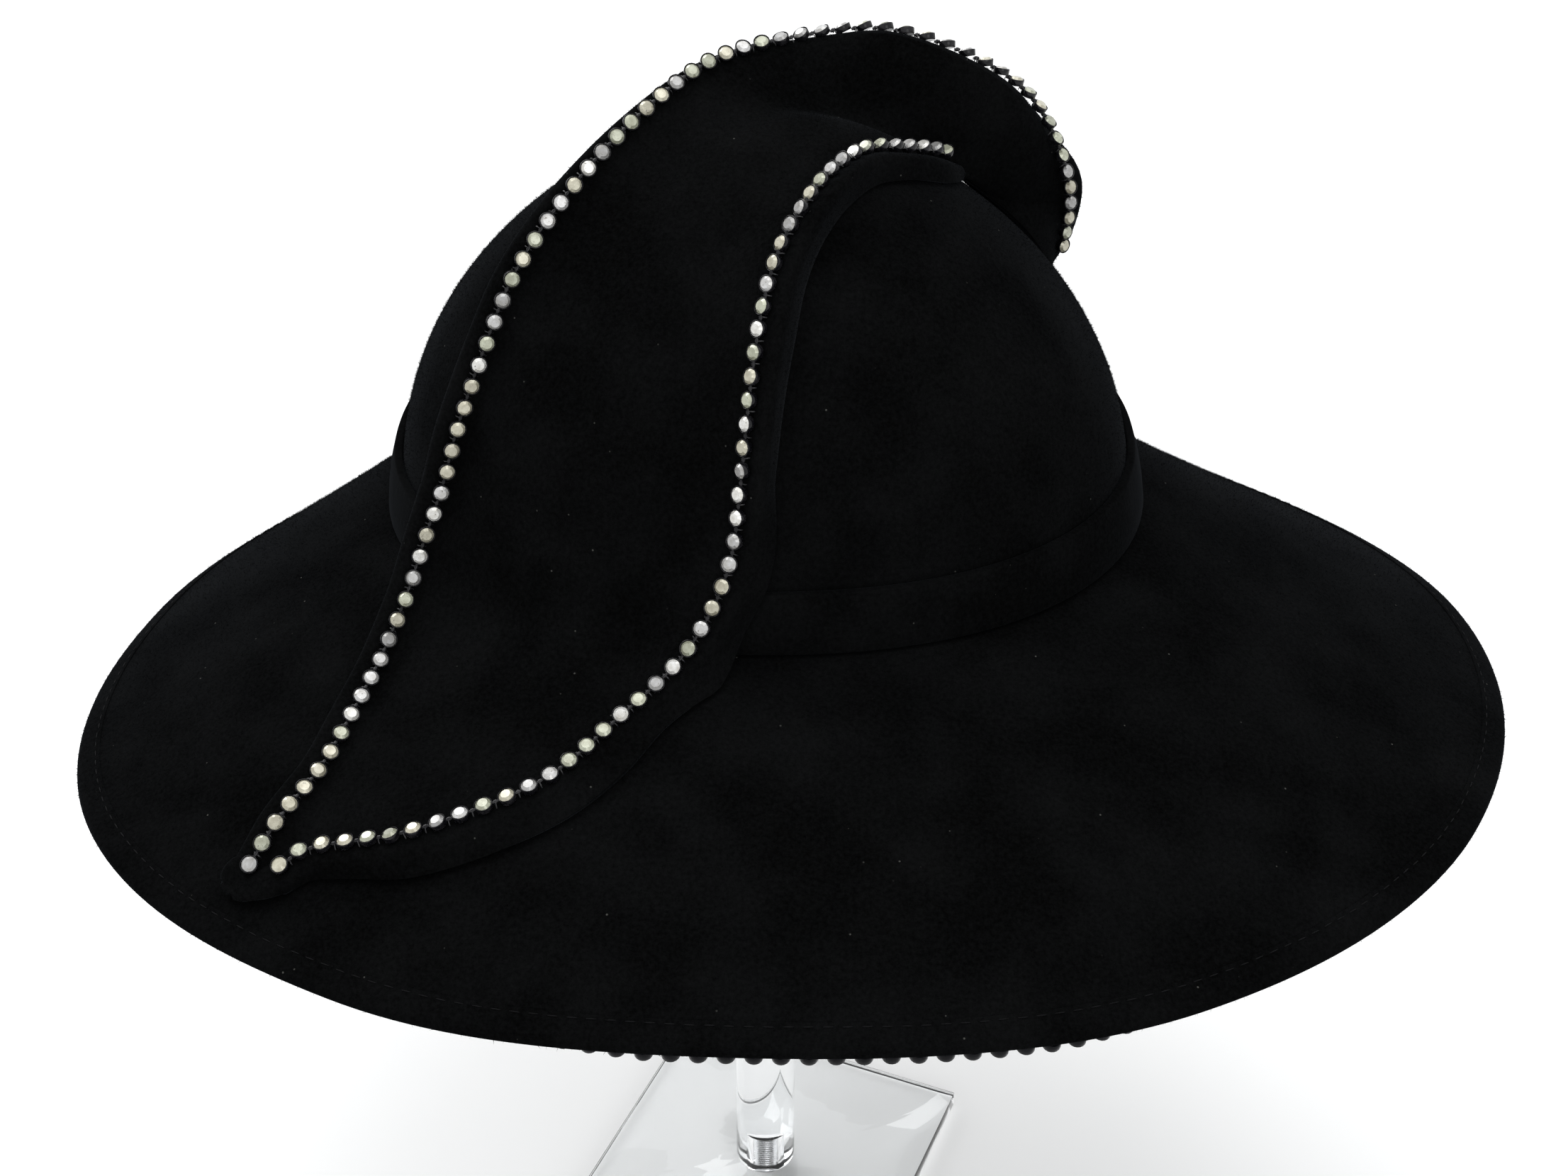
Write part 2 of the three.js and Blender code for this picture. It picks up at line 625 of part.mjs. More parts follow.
// Square plate with a countersunk hole for the screw
function makePlate() {
  const half = PLATE_SIDE / 2;
  const square = new THREE.Shape();
  square.moveTo(-half, -half);
  square.lineTo(half, -half);
  square.lineTo(half, half);
  square.lineTo(-half, half);
  square.closePath();
  const hole = new THREE.Path();
  hole.absarc(0, 0, SCREW_HEAD_RADIUS + GAP, 0, 2 * Math.PI, true);
  square.holes.push(hole);
  const options = { depth: PLATE_THICKNESS, bevelEnabled: false, curveSegments: HOLE_SEGMENTS };
  const geometry = new THREE.ExtrudeGeometry(square, options);
  return geometry.rotateZ(radians(PLATE_TURN));
}

// Screw with a flat head, flush with the plate's foot, that reaches up into the rod
function makeScrew() {
  const headTop = PLATE_THICKNESS - GAP;
  return turned(
    [
      [0, 0],
      [SCREW_HEAD_RADIUS, 0],
      [SCREW_HEAD_RADIUS, headTop],
      [SCREW_RADIUS, headTop],
      [SCREW_RADIUS, PLATE_THICKNESS + SCREW_REACH],
      [0, PLATE_THICKNESS + SCREW_REACH],
    ],
    SCREW_SIDES,
  );
}

// Round rod with a blind hole for the screw in its foot
function makeRod(top) {
  const foot = PLATE_THICKNESS + GAP;
  const hole = PLATE_THICKNESS + SCREW_REACH + GAP;
  return turned(
    [
      [SCREW_RADIUS + GAP, foot],
      [ROD_RADIUS, foot],
      [ROD_RADIUS, top],
      [0, top],
      [0, hole],
      [SCREW_RADIUS + GAP, hole],
      [SCREW_RADIUS + GAP, foot],
    ],
    ROD_SIDES,
  );
}

function makeDisc(bottom) {
  return turned(
    [
      [0, bottom],
      [DISC_RADIUS - DISC_CHAMFER, bottom],
      [DISC_RADIUS, bottom + DISC_CHAMFER],
      [DISC_RADIUS, bottom + DISC_THICKNESS - DISC_CHAMFER],
      [DISC_RADIUS - DISC_CHAMFER, bottom + DISC_THICKNESS],
      [0, bottom + DISC_THICKNESS],
    ],
    DISC_SIDES,
  );
}

// Highest place of the disc where the inside of the crown still clears its edge
function discHeight() {
  const target = (DISC_RADIUS + DISC_ROOM + FELT) / CROWN_HALF_WIDTH;
  const height = (1 - target ** SHOULDER_POWER) ** (1 / DOME_POWER);
  return CROWN_BASE + height * (CROWN_RISE - FELT) - DISC_THICKNESS;
}

const felt = new THREE.MeshStandardMaterial({ color: 0x0c0e10, roughness: 0.95, metalness: 0 });
const stones = new THREE.MeshStandardMaterial({ color: 0xb7b5a8, roughness: 0.15, metalness: 0 });
const cups = new THREE.MeshStandardMaterial({ color: 0x101113, roughness: 0.2, metalness: 0 });
const acrylic = new THREE.MeshStandardMaterial({ color: 0xdfe3e6, roughness: 0.06, metalness: 0 });
const steel = new THREE.MeshStandardMaterial({ color: 0x9a9ca0, roughness: 0.3, metalness: 1 });

const hat = new THREE.Group();
const discBottom = discHeight();

function add(name, geometry, material, shift) {
  const bare = geometry.clone().translate(shift, 0, 0);
  bare.deleteAttribute('normal');
  bare.deleteAttribute('uv');
  const mesh = new THREE.Mesh(mergeVertices(bare, 1e-4), material);
  mesh.name = name;
  hat.add(mesh);
}

add('crown', makeCrown(), felt, HAT_SHIFT);
add('brim', makeBrim(), felt, HAT_SHIFT);
add('hat_band', makeBand(), felt, HAT_SHIFT);
add('wave_ornament', makeWave(), felt, HAT_SHIFT);
add('trim_outer', makeStones(stoneFrames('outer', OUTER_ROW)), stones, HAT_SHIFT);
add('trim_inner', makeStones(stoneFrames('inner', INNER_ROW)), stones, HAT_SHIFT);
add('trim_brim', makeBrimRow(), cups, HAT_SHIFT);
add('stand_base', makePlate(), acrylic, 0);
add('stand_screw', makeScrew(), steel, 0);
add('stand_rod', makeRod(discBottom - GAP), acrylic, 0);
add('stand_top', makeDisc(discBottom), acrylic, 0);

export default hat;
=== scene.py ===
"""Felt picture hat on a clear stand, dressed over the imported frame.

Sizes are in millimetres until a mesh is finished, then in metres. The hat's own axes start on
the floor under the middle of its crown, and the stand's rod is a little to the left of that.
"""

import json
import logging
import math
import random
from dataclasses import dataclass, field
from enum import Enum
from typing import Callable, Iterable, Sequence

import bmesh
import bpy
from mathutils import Matrix, Vector, noise

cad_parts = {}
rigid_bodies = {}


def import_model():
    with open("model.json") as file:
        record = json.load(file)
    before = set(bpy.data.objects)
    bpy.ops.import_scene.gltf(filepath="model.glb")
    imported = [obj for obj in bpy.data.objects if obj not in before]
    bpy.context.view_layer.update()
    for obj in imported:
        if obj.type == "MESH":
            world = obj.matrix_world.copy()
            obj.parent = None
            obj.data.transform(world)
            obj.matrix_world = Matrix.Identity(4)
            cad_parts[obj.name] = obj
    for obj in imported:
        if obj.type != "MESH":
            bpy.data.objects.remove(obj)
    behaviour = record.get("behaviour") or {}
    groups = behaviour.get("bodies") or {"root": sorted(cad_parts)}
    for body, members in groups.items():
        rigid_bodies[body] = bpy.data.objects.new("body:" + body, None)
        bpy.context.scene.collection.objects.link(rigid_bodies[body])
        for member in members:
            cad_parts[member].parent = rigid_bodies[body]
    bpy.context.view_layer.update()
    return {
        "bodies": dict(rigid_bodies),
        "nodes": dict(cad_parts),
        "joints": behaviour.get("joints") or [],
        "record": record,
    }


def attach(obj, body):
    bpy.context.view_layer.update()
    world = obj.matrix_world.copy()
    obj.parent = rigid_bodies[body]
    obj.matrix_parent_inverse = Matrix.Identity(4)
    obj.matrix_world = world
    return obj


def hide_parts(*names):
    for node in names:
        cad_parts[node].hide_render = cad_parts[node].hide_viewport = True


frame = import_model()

LOG = logging.getLogger("hat")

MM = 0.001
BODY = "root"
FULL_TURN = 2 * math.pi

# Shared by the felt pieces
GAP = 0.3
FELT = 2.2
HAT_SHIFT = 1.6
WELD = 0.004
SEED = 7

Mesh = bmesh.types.BMesh
Placement = Callable[[float, float], Vector]


class Slot(Enum):
    """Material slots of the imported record."""

    FELT = "felt"
    STONES = "stones"
    CUPS = "cups"
    ACRYLIC = "acrylic"
    STEEL = "steel"


class Row(Enum):
    """The two rims of the wave that carry stones."""

    OUTER = "outer"
    INNER = "inner"


# Mesh helpers


def wrap_grid(columns: int, rows: int, place: Placement) -> Mesh:
    """Wrap a flat grid on a form and close its seams.

    Args:
        columns: Number of cells along the first direction.
        rows: Number of cells along the second direction.
        place: Point of the form for two parts from 0 to 1.

    Returns:
        The wrapped mesh, with coinciding corners merged.
    """
    mesh = bmesh.new()
    bmesh.ops.create_grid(mesh, x_segments=columns, y_segments=rows, size=0.5)
    for vert in mesh.verts:
        vert.co = place(vert.co.x + 0.5, vert.co.y + 0.5)
    bmesh.ops.remove_doubles(mesh, verts=mesh.verts, dist=WELD)
    bmesh.ops.recalc_face_normals(mesh, faces=mesh.faces)
    return mesh


def soften(mesh: Mesh, angle: float, width: float, segments: int = 2) -> None:
    """Round the edges that turn more than an angle.

    Args:
        mesh: Mesh to change.
        angle: Least turn of an edge, in degrees.
        width: Width of the rounding.
        segments: Steps of the rounding.
    """
    limit = math.radians(angle)
    sharp = [e for e in mesh.edges if e.is_manifold and e.calc_face_angle(0) > limit]
    bmesh.ops.bevel(
        mesh,
        geom=sharp,
        offset=width,
        segments=segments,
        affect="EDGES",
        profile=0.5,
        material=-1,
        clamp_overlap=True,
    )


def spun(profile: Sequence[tuple[float, float]], steps: int) -> Mesh:
    """Turn a profile round the Z axis.

    Args:
        profile: Radius and height pairs.
        steps: Steps of the full turn.

    Returns:
        The turned body.
    """
    mesh = bmesh.new()
    verts = [mesh.verts.new((radius, 0, height)) for radius, height in profile]
    for first, second in zip(verts, verts[1:]):
        mesh.edges.new((first, second))
    bmesh.ops.spin(
        mesh,
        geom=list(mesh.verts) + list(mesh.edges),
        cent=(0, 0, 0),
        axis=(0, 0, 1),
        dvec=(0, 0, 0),
        angle=FULL_TURN,
        steps=steps,
        use_merge=True,
    )
    bmesh.ops.remove_doubles(mesh, verts=mesh.verts, dist=WELD)
    bmesh.ops.recalc_face_normals(mesh, faces=mesh.faces)
    return mesh


def keep_as(name: str, mesh: Mesh) -> bpy.types.Mesh:
    """Store a bmesh as mesh data.

    Args:
        name: Name of the data.
        mesh: Mesh to store, which is freed.

    Returns:
        The mesh data.
    """
    data = bpy.data.meshes.new(name)
    mesh.to_mesh(data)
    mesh.free()
    return data


def build_piece(
    name: str,
    mesh: Mesh,
    material: bpy.types.Material,
    slot: Slot,
    shift: float = HAT_SHIFT,
    sharp: float = 40,
    replaces: Sequence[str] = (),
) -> bpy.types.Object:
    """Make a finished piece from a mesh in millimetres.

    Args:
        name: Name of the piece.
        mesh: Its mesh, which is freed.
        material: Its finish.
        slot: Slot of the record that the finish belongs to; not used.
        shift: How far the piece moves along X, in millimetres.
        sharp: Turn from which an edge shows as a crease, in degrees.
        replaces: CAD nodes that the piece stands for.

    Returns:
        The object, which rides on the body.
    """
    bmesh.ops.translate(mesh, verts=mesh.verts, vec=(shift, 0, 0))
    bmesh.ops.scale(mesh, verts=mesh.verts, vec=(MM, MM, MM))
    data = keep_as(name, mesh)
    data.materials.append(material)
    data.shade_smooth()
    data.set_sharp_from_angle(angle=math.radians(sharp))
    piece = bpy.data.objects.new(name, data)
    bpy.context.scene.collection.objects.link(piece)
    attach(piece, BODY)
    if replaces:
        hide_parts(*replaces)
    LOG.info("%s: %d faces", name, len(data.polygons))
    return piece


class Cluster:
    """Many small copies of one template in one mesh, each with its own tint."""

    def __init__(self, template: bpy.types.Mesh) -> None:
        """Start an empty cluster.

        Args:
            template: Mesh data of the part that is copied.
        """
        self.template = template
        self.mesh = bmesh.new()
        self.tint = self.mesh.loops.layers.float_color.new("tint")

    def add(self, place: Matrix, tint: Sequence[float] = (1, 1, 1)) -> None:
        """Add one copy.

        Args:
            place: Where the copy goes.
            tint: Colour stored on its faces.
        """
        first_vert, first_face = len(self.mesh.verts), len(self.mesh.faces)
        self.mesh.from_mesh(self.template)
        self.mesh.verts.ensure_lookup_table()
        self.mesh.faces.ensure_lookup_table()
        bmesh.ops.transform(self.mesh, matrix=place, verts=self.mesh.verts[first_vert:])
        for face in self.mesh.faces[first_face:]:
            for loop in face.loops:
                loop[self.tint] = (*tint, 1.0)


def frame_matrix(point: Vector, along: Vector, facing: Vector) -> Matrix:
    """Place for a small part.

    Args:
        point: Where its own origin goes.
        along: Where its X axis points.
        facing: Where its Z axis points.

    Returns:
        The matrix.
    """
    up = facing.normalized()
    ahead = (along - up * along.dot(up)).normalized()
    side = up.cross(ahead)
    turn = Matrix((ahead, side, up)).transposed().to_4x4()
    return Matrix.Translation(point) @ turn


def smooth_path(points: Sequence[Vector], place: float) -> Vector:
    """Point of a smooth path through points with uneven spacing.

    Args:
        points: The points.
        place: From 0 at the first to 1 at the last.

    Returns:
        The point.
    """
    last = len(points) - 1
    row = min(last - 1, max(0, int(place * last)))
    part = place * last - row
    here, ahead = points[row], points[row + 1]
    behind = points[row - 1] if row > 0 else here * 2 - ahead
    beyond = points[row + 2] if row + 2 <= last else ahead * 2 - here
    gaps = [math.sqrt((b - a).length) for a, b in ((behind, here), (here, ahead), (ahead, beyond))]
    middle = gaps[1] if gaps[1] > 1e-4 else 1.0
    first = gaps[0] if gaps[0] > 1e-4 else middle
    third = gaps[2] if gaps[2] > 1e-4 else middle
    start = (here - behind) / first - (ahead - behind) / (first + middle) + (ahead - here) / middle
    end = (ahead - here) / middle - (beyond - here) / (middle + third) + (beyond - ahead) / third
    start, end = start * middle, end * middle
    square = (ahead - here) * 3 - start * 2 - end
    cube = (here - ahead) * 2 + start + end
    return here + (start + (square + cube * part) * part) * part


# The hat's form


@dataclass(frozen=True)
class BrimStation:
    """Reach and height of the brim's edge at a turn in degrees."""

    turn: float
    reach: float
    height: float


BRIM_EDGE = (
    BrimStation(turn=0, reach=206, height=238),
    BrimStation(turn=30, reach=173, height=234),
    BrimStation(turn=60, reach=161, height=230),
    BrimStation(turn=90, reach=165, height=229),
    BrimStation(turn=120, reach=160, height=230),
    BrimStation(turn=150, reach=160, height=233),
    BrimStation(turn=180, reach=181.5, height=238),
    BrimStation(turn=210, reach=202.5, height=243),
    BrimStation(turn=240, reach=199, height=247),
    BrimStation(turn=270, reach=192, height=248),
    BrimStation(turn=300, reach=201, height=244.5),
    BrimStation(turn=330, reach=211, height=243),
)


@dataclass(frozen=True)
class HatForm:
    """The shape that the felt is blocked to, without its thickness."""

    crown_base: float = 285.5
    half_length: float = 102
    half_width: float = 88
    rise: float = 105
    lean: float = -2
    oval_power: float = 2.2
    dome_power: float = 2.1
    shoulder_power: float = 1.5
    band_height: float = 15.8
    band_felt: float = 2.2
    band_lean: float = 2.1
    band_ramp: float = 2.6
    droop_power: float = 1.05
    back_flattening: float = 0.25
    slope_factor: float = 0.94
    normal_reach: float = 0.5
    draw_steps: int = 12
    draw_ease: float = 0.85

    def edge(self, column: str, turn: float) -> float:
        """Smooth value of one column of the brim's table.

        Args:
            column: Name of the column.
            turn: Turn in radians.

        Returns:
            The value.
        """
        count = len(BRIM_EDGE)
        place = (turn / FULL_TURN * count) % count
        row = int(place)
        part = place - row
        behind, here, ahead, beyond = (
            getattr(BRIM_EDGE[(row + k) % count], column) for k in (-1, 0, 1, 2)
        )
        slope, next_slope, rise = (ahead - behind) / 2, (beyond - here) / 2, ahead - here
        square = 3 * rise - 2 * slope - next_slope
        cube = slope + next_slope - 2 * rise
        return here + part * (slope + part * (square + part * cube))

    def oval(self, turn: float) -> float:
        """Radius factor of the crown's oval at a turn."""
        across = abs(math.cos(turn)) ** self.oval_power
        along = abs(math.sin(turn)) ** self.oval_power
        return (across + along) ** (-1 / self.oval_power)

    def crown(self, turn: float, height: float, offset: float = 0) -> Vector:
        """Point on the crown.

        Args:
            turn: Turn in radians.
            height: From 0 at the foot to 1 at the top.
            offset: How far out from the surface.

        Returns:
            The point.
        """
        shrink = max(0.0, 1 - height**self.dome_power) ** (1 / self.shoulder_power)
        factor = self.oval(turn)
        return Vector(
            (
                self.lean * height + (self.half_length * shrink + offset) * factor * math.cos(turn),
                (self.half_width * shrink + offset) * factor * math.sin(turn),
                self.crown_base + self.rise * height,
            )
        )

    def brim(self, turn: float, part: float) -> Vector:
        """Point on the brim's upper face.

        Args:
            turn: Turn in radians.
            part: From 0 at the crown to 1 at the edge.

        Returns:
            The point.
        """
        foot = self.crown(turn, 0)
        reach = self.edge("reach", turn)
        edge = Vector((reach * math.cos(turn), reach * math.sin(turn), 0))
        point = foot.lerp(edge, part)
        power = self.droop_power - self.back_flattening * math.sin(turn)
        top = self.crown_base - GAP
        point.z = top + (self.edge("height", turn) - top) * max(0.0, part) ** power
        return point

    def brim_width(self, turn: float) -> float:
        """Width of the brim at a turn."""
        foot = self.crown(turn, 0)
        return self.edge("reach", turn) - math.hypot(foot.x, foot.y)

    def above_crown(self, point: Vector) -> float:
        """Distance from a point to the crown with its band, less than zero inside."""
        height = max(0.0, (point.z - self.crown_base) / self.rise)
        across = abs((point.x - self.lean * height) / self.half_length) ** self.oval_power
        along = abs(point.y / self.half_width) ** self.oval_power
        radius = (across + along) ** (1 / self.oval_power)
        level = radius**self.shoulder_power + height**self.dome_power - 1
        steepness = math.hypot(
            self.shoulder_power * radius ** (self.shoulder_power - 1) / self.half_width,
            self.dome_power * height ** (self.dome_power - 1) / self.rise,
        )
        lift = point.z - self.crown_base
        lean = self.band_lean * min(1.0, max(0.0, 1 - lift / self.band_height))
        ramp = min(1.0, max(0.0, self.band_ramp - (lift - self.band_height) / self.band_felt))
        return level / max(steepness, 1e-4) - (self.band_felt + GAP + lean) * ramp

    def above_brim(self, point: Vector) -> float:
        """Distance from a point to the brim's upper face."""
        turn = math.atan2(point.y, point.x)
        foot = self.crown(turn, 0)
        inner = math.hypot(foot.x, foot.y)
        part = (math.hypot(point.x, point.y) - inner) / (self.edge("reach", turn) - inner)
        top = self.brim(turn, min(1.2, max(0.0, part)))
        return (point.z - top.z) * self.slope_factor

    def above(self, point: Vector) -> float:
        """Distance from a point to the hat."""
        return min(self.above_crown(point), self.above_brim(point))

    def normal(self, point: Vector) -> Vector:
        """Direction away from the hat at a point."""
        steps = [Vector(axis) * self.normal_reach for axis in ((1, 0, 0), (0, 1, 0), (0, 0, 1))]
        slope = Vector([self.above(point + step) - self.above(point - step) for step in steps])
        return slope.normalized()

    def drawn(self, point: Vector, lift: float) -> Vector:
        """Nearest point at a given distance from the hat.

        Args:
            point: Where to start.
            lift: Distance from the hat.

        Returns:
            The point.
        """
        found = point.copy()
        for _ in range(self.draw_steps):
            error = lift - self.above(found)
            if abs(error) < 0.01:
                break
            found += self.normal(found) * error * self.draw_ease
        return found


HAT = HatForm()


# The wave and its two rows of stones


@dataclass(frozen=True)
class WaveSection:
    """One section across the wave: middles of its two stones and how the felt lies there."""

    outer: tuple[float, float, float]
    inner: tuple[float, float, float]
    edge: float
    foot: float
    fold: float = 1
    slack: float = 0


WAVE_SECTIONS = (
    WaveSection(outer=(-122, -141, 259), inner=(-116, -145, 260), edge=4, foot=2.5),
    WaveSection(outer=(-116, -133, 266), inner=(-109, -141, 264), edge=4.2, foot=5),
    WaveSection(outer=(-107, -117, 271), inner=(-96, -141, 267), edge=4.2, foot=7.5),
    WaveSection(outer=(-101, -102, 276), inner=(-85, -142, 270), edge=4.2, foot=9),
    WaveSection(outer=(-96, -87, 283), inner=(-69, -139, 274), edge=3.8, foot=9.3),
    WaveSection(outer=(-91, -74, 292), inner=(-51, -131, 278), edge=3.6, foot=9.3),
    WaveSection(outer=(-86, -66, 305), inner=(-35, -116, 284), edge=3.4, foot=9.3),
    WaveSection(outer=(-80, -60, 320), inner=(-19, -103, 294), edge=3.4, foot=9.3),
    WaveSection(outer=(-75, -55, 336), inner=(-9, -94, 311), edge=3.2, foot=9.3),
    WaveSection(outer=(-69, -49, 351), inner=(-6, -86, 332), edge=2.8, foot=9.3),
    WaveSection(outer=(-62, -42, 366), inner=(-4, -79, 350), edge=2.4, foot=9.3),
    WaveSection(outer=(-50, -30, 381), inner=(-1, -67, 367), edge=2.1, foot=9.3),
    WaveSection(outer=(-33, -12, 395), inner=(3, -55, 378), edge=1.6, foot=9.3),
    WaveSection(outer=(-14, 7, 404), inner=(9, -43, 385), edge=1.3, foot=9.3),
    WaveSection(outer=(8, 22, 406), inner=(17, -28, 389), edge=1.2, foot=9.3),
    WaveSection(outer=(31, 26, 407), inner=(26, -14, 389), edge=1.8, foot=9),
    WaveSection(outer=(53, 21, 402), inner=(35, -5, 386), edge=3, foot=8.5, slack=0.2),
    WaveSection(outer=(73, 27, 387), inner=(48, 9, 379), edge=4.6, foot=8, slack=0.6),
    WaveSection(outer=(85, 32, 361), inner=(56, 28, 365), edge=6.5, foot=7, fold=0, slack=1.1),
    WaveSection(outer=(86, 43, 333), inner=(65, 40, 350), edge=7.5, foot=7, fold=0, slack=1.3),
    WaveSection(outer=(84, 56, 316), inner=(71, 54, 331), edge=5, foot=7, fold=0, slack=1.3),
)


@dataclass(frozen=True)
class Facing:
    """The way that stones face at a section of the wave."""

    section: float
    way: tuple[float, float, float]


FACINGS = {
    Row.OUTER: (
        Facing(section=0, way=(-0.06, -0.64, 0.77)),
        Facing(section=3, way=(0.18, -0.7, 0.69)),
        Facing(section=5, way=(0.29, -0.74, 0.6)),
        Facing(section=7, way=(0.35, -0.9, 0.28)),
        Facing(section=9, way=(0.34, -0.9, 0.27)),
        Facing(section=11, way=(0.4, -0.77, 0.49)),
        Facing(section=13, way=(0.3, -0.6, 0.75)),
        Facing(section=14, way=(0.2, 0, 0.98)),
        Facing(section=15, way=(0.2, 0.5, 0.85)),
        Facing(section=16.5, way=(0.4, 0.3, 0.8)),
        Facing(section=17.5, way=(0.7, -0.3, 0.5)),
        Facing(section=18.2, way=(0.4, -0.9, 0.3)),
        Facing(section=19, way=(0.6, -0.8, 0)),
        Facing(section=20, way=(0.7, -0.7, 0)),
    ),
    Row.INNER: (
        Facing(section=0, way=(-0.15, -0.3, 0.94)),
        Facing(section=2, way=(-0.05, -0.05, 1)),
        Facing(section=4, way=(-0.1, -0.1, 0.99)),
        Facing(section=5, way=(-0.22, -0.32, 0.92)),
        Facing(section=6, way=(-0.18, -0.6, 0.77)),
        Facing(section=8, way=(-0.27, -0.8, 0.53)),
        Facing(section=9, way=(-0.72, -0.56, 0.36)),
        Facing(section=10, way=(-0.7, -0.62, 0.33)),
        Facing(section=11, way=(-0.55, -0.45, 0.7)),
        Facing(section=13, way=(-0.6, -0.05, 0.8)),
        Facing(section=15, way=(-0.2, 0.2, 0.95)),
        Facing(section=17, way=(0.2, 0.2, 0.95)),
        Facing(section=20, way=(0.6, 0.5, 0.6)),
    ),
}


@dataclass(frozen=True)
class StoneFrame:
    """Middle of a stone's widest plane, the way along its row, its facing and its outer side."""

    point: Vector
    along: Vector
    facing: Vector
    out: Vector


@dataclass(frozen=True)
class WaveForm:
    """The middle of the wave's felt, shaped by the two rows of stones that it carries."""

    felt: float = 2
    seat_depth: float = 3.25
    seat_outward: float = 2.5
    seat_inward: float = 3.3
    seat_share: float = 0.7
    crest_rounding: float = 0.7
    crest_depth: float = 3
    outer_foot: float = 1.5
    inner_edge: float = 3.6
    foot_sink: float = 6
    floor_lift: float = 2.4
    clear_lift: float = 1.9
    stone_lift: float = 5.9
    foot_lift: float = 0.75
    floor_reach: float = 13
    floor_share: float = 0.36
    nose: tuple[float, float, float] = (-8.5, -3, -1.5)
    ways: dict[Row, int] = field(default_factory=lambda: {Row.OUTER: 1, Row.INNER: -1})

    def value(self, column: str, place: float) -> float:
        """Value of a column of the table of sections.

        Args:
            column: Name of the column.
            place: From 0 at the tip to 1 at the far end.

        Returns:
            The value.
        """
        rows = len(WAVE_SECTIONS) - 1
        row = min(rows - 1, int(place * rows))
        first, second = (getattr(WAVE_SECTIONS[row + k], column) for k in (0, 1))
        return first + (second - first) * (place * rows - row)

    def rim(self, row: Row, place: float) -> Vector:
        """Point on the line through a row's stones, kept clear of the hat."""
        point = smooth_path([Vector(getattr(s, row.value)) for s in WAVE_SECTIONS], place)
        return HAT.drawn(point, self.stone_lift) if HAT.above(point) < self.stone_lift else point

    def along(self, row: Row, place: float) -> Vector:
        """Direction of a row at a place."""
        points = [Vector(getattr(s, row.value)) for s in WAVE_SECTIONS]
        step = 1e-3
        ahead = smooth_path(points, min(1, place + step))
        return (ahead - smooth_path(points, max(0, place - step))).normalized()

    def stone(self, row: Row, place: float) -> StoneFrame:
        """Frame of a stone at a place of a row.

        Args:
            row: The row.
            place: From 0 at the tip to 1 at the far end.

        Returns:
            The frame.
        """
        table = FACINGS[row]
        section = place * (len(WAVE_SECTIONS) - 1)
        last = len(table) - 1
        step = next((k for k in range(1, last) if table[k].section >= section), last)
        first, second = table[step - 1], table[step]
        part = (section - first.section) / (second.section - first.section)
        along = self.along(row, place)
        facing = Vector(first.way).lerp(Vector(second.way), part)
        facing = (facing - along * facing.dot(along)).normalized()
        out = facing.cross(along) * self.ways[row]
        return StoneFrame(self.rim(row, place), along, facing, out)

    def section(self, place: float) -> list[Vector]:
        """Line across the felt's middle from its outer foot to its inner one.

        Args:
            place: From 0 at the tip to 1 at the far end.

        Returns:
            The line's points.
        """
        outer, inner = (self.stone(row, place) for row in Row)
        width = (inner.point - outer.point).length
        up = HAT.normal(outer.point.lerp(inner.point, 0.5))
        depth = self.seat_depth + self.value("slack", place)

        def seat(frame: StoneFrame, reach: float, sink: float) -> Vector:
            point = frame.point - frame.facing * (depth + sink) + frame.out * reach
            if HAT.above(point) < self.clear_lift:
                return HAT.drawn(point, self.clear_lift)
            return point

        def foot(frame: StoneFrame, reach: float) -> Vector:
            return HAT.drawn(frame.point + frame.out * reach - up * self.foot_sink, self.foot_lift)

        def floor(part: float) -> Vector:
            return HAT.drawn(outer.point.lerp(inner.point, part), self.floor_lift)

        share = min(self.floor_reach, width * self.floor_share) / width
        edge = self.value("edge", place)
        fold = [
            seat(inner, -self.seat_inward, 0),
            seat(inner, self.seat_outward, 0),
            seat(inner, self.inner_edge, self.crest_rounding),
            foot(inner, self.value("foot", place)),
        ]
        flat = [floor(1 - share + share * (k + 1) / len(fold)) for k in range(len(fold))]
        flat[-1] = HAT.drawn(flat[-1], self.foot_lift)
        stands = self.value("fold", place)
        return [
            foot(outer, self.outer_foot),
            seat(outer, edge, self.crest_depth),
            seat(outer, edge, self.crest_rounding),
            seat(outer, min(self.seat_outward, edge * self.seat_share), 0),
            seat(outer, -self.seat_inward, 0),
            floor(share),
            floor(0.5),
            floor(1 - share),
            *[a.lerp(b, stands) for a, b in zip(flat, fold)],
        ]

    def nose_line(self, line: Sequence[Vector], turn: float) -> list[Vector]:
        """First section drawn in towards the wave's rounded nose.

        Args:
            line: The first section.
            turn: From 0 at that section to a quarter turn at the nose, in radians.

        Returns:
            The drawn line.
        """
        heart = line[0].lerp(line[-1], 0.5)
        drawn = []
        for point in line:
            lift = max(self.floor_lift, HAT.above(point) * math.cos(turn))
            moved = heart.lerp(point, math.cos(turn)) + Vector(self.nose) * math.sin(turn)
            drawn.append(HAT.drawn(moved, lift))
        return drawn


WAVE = WaveForm()


# Finishes


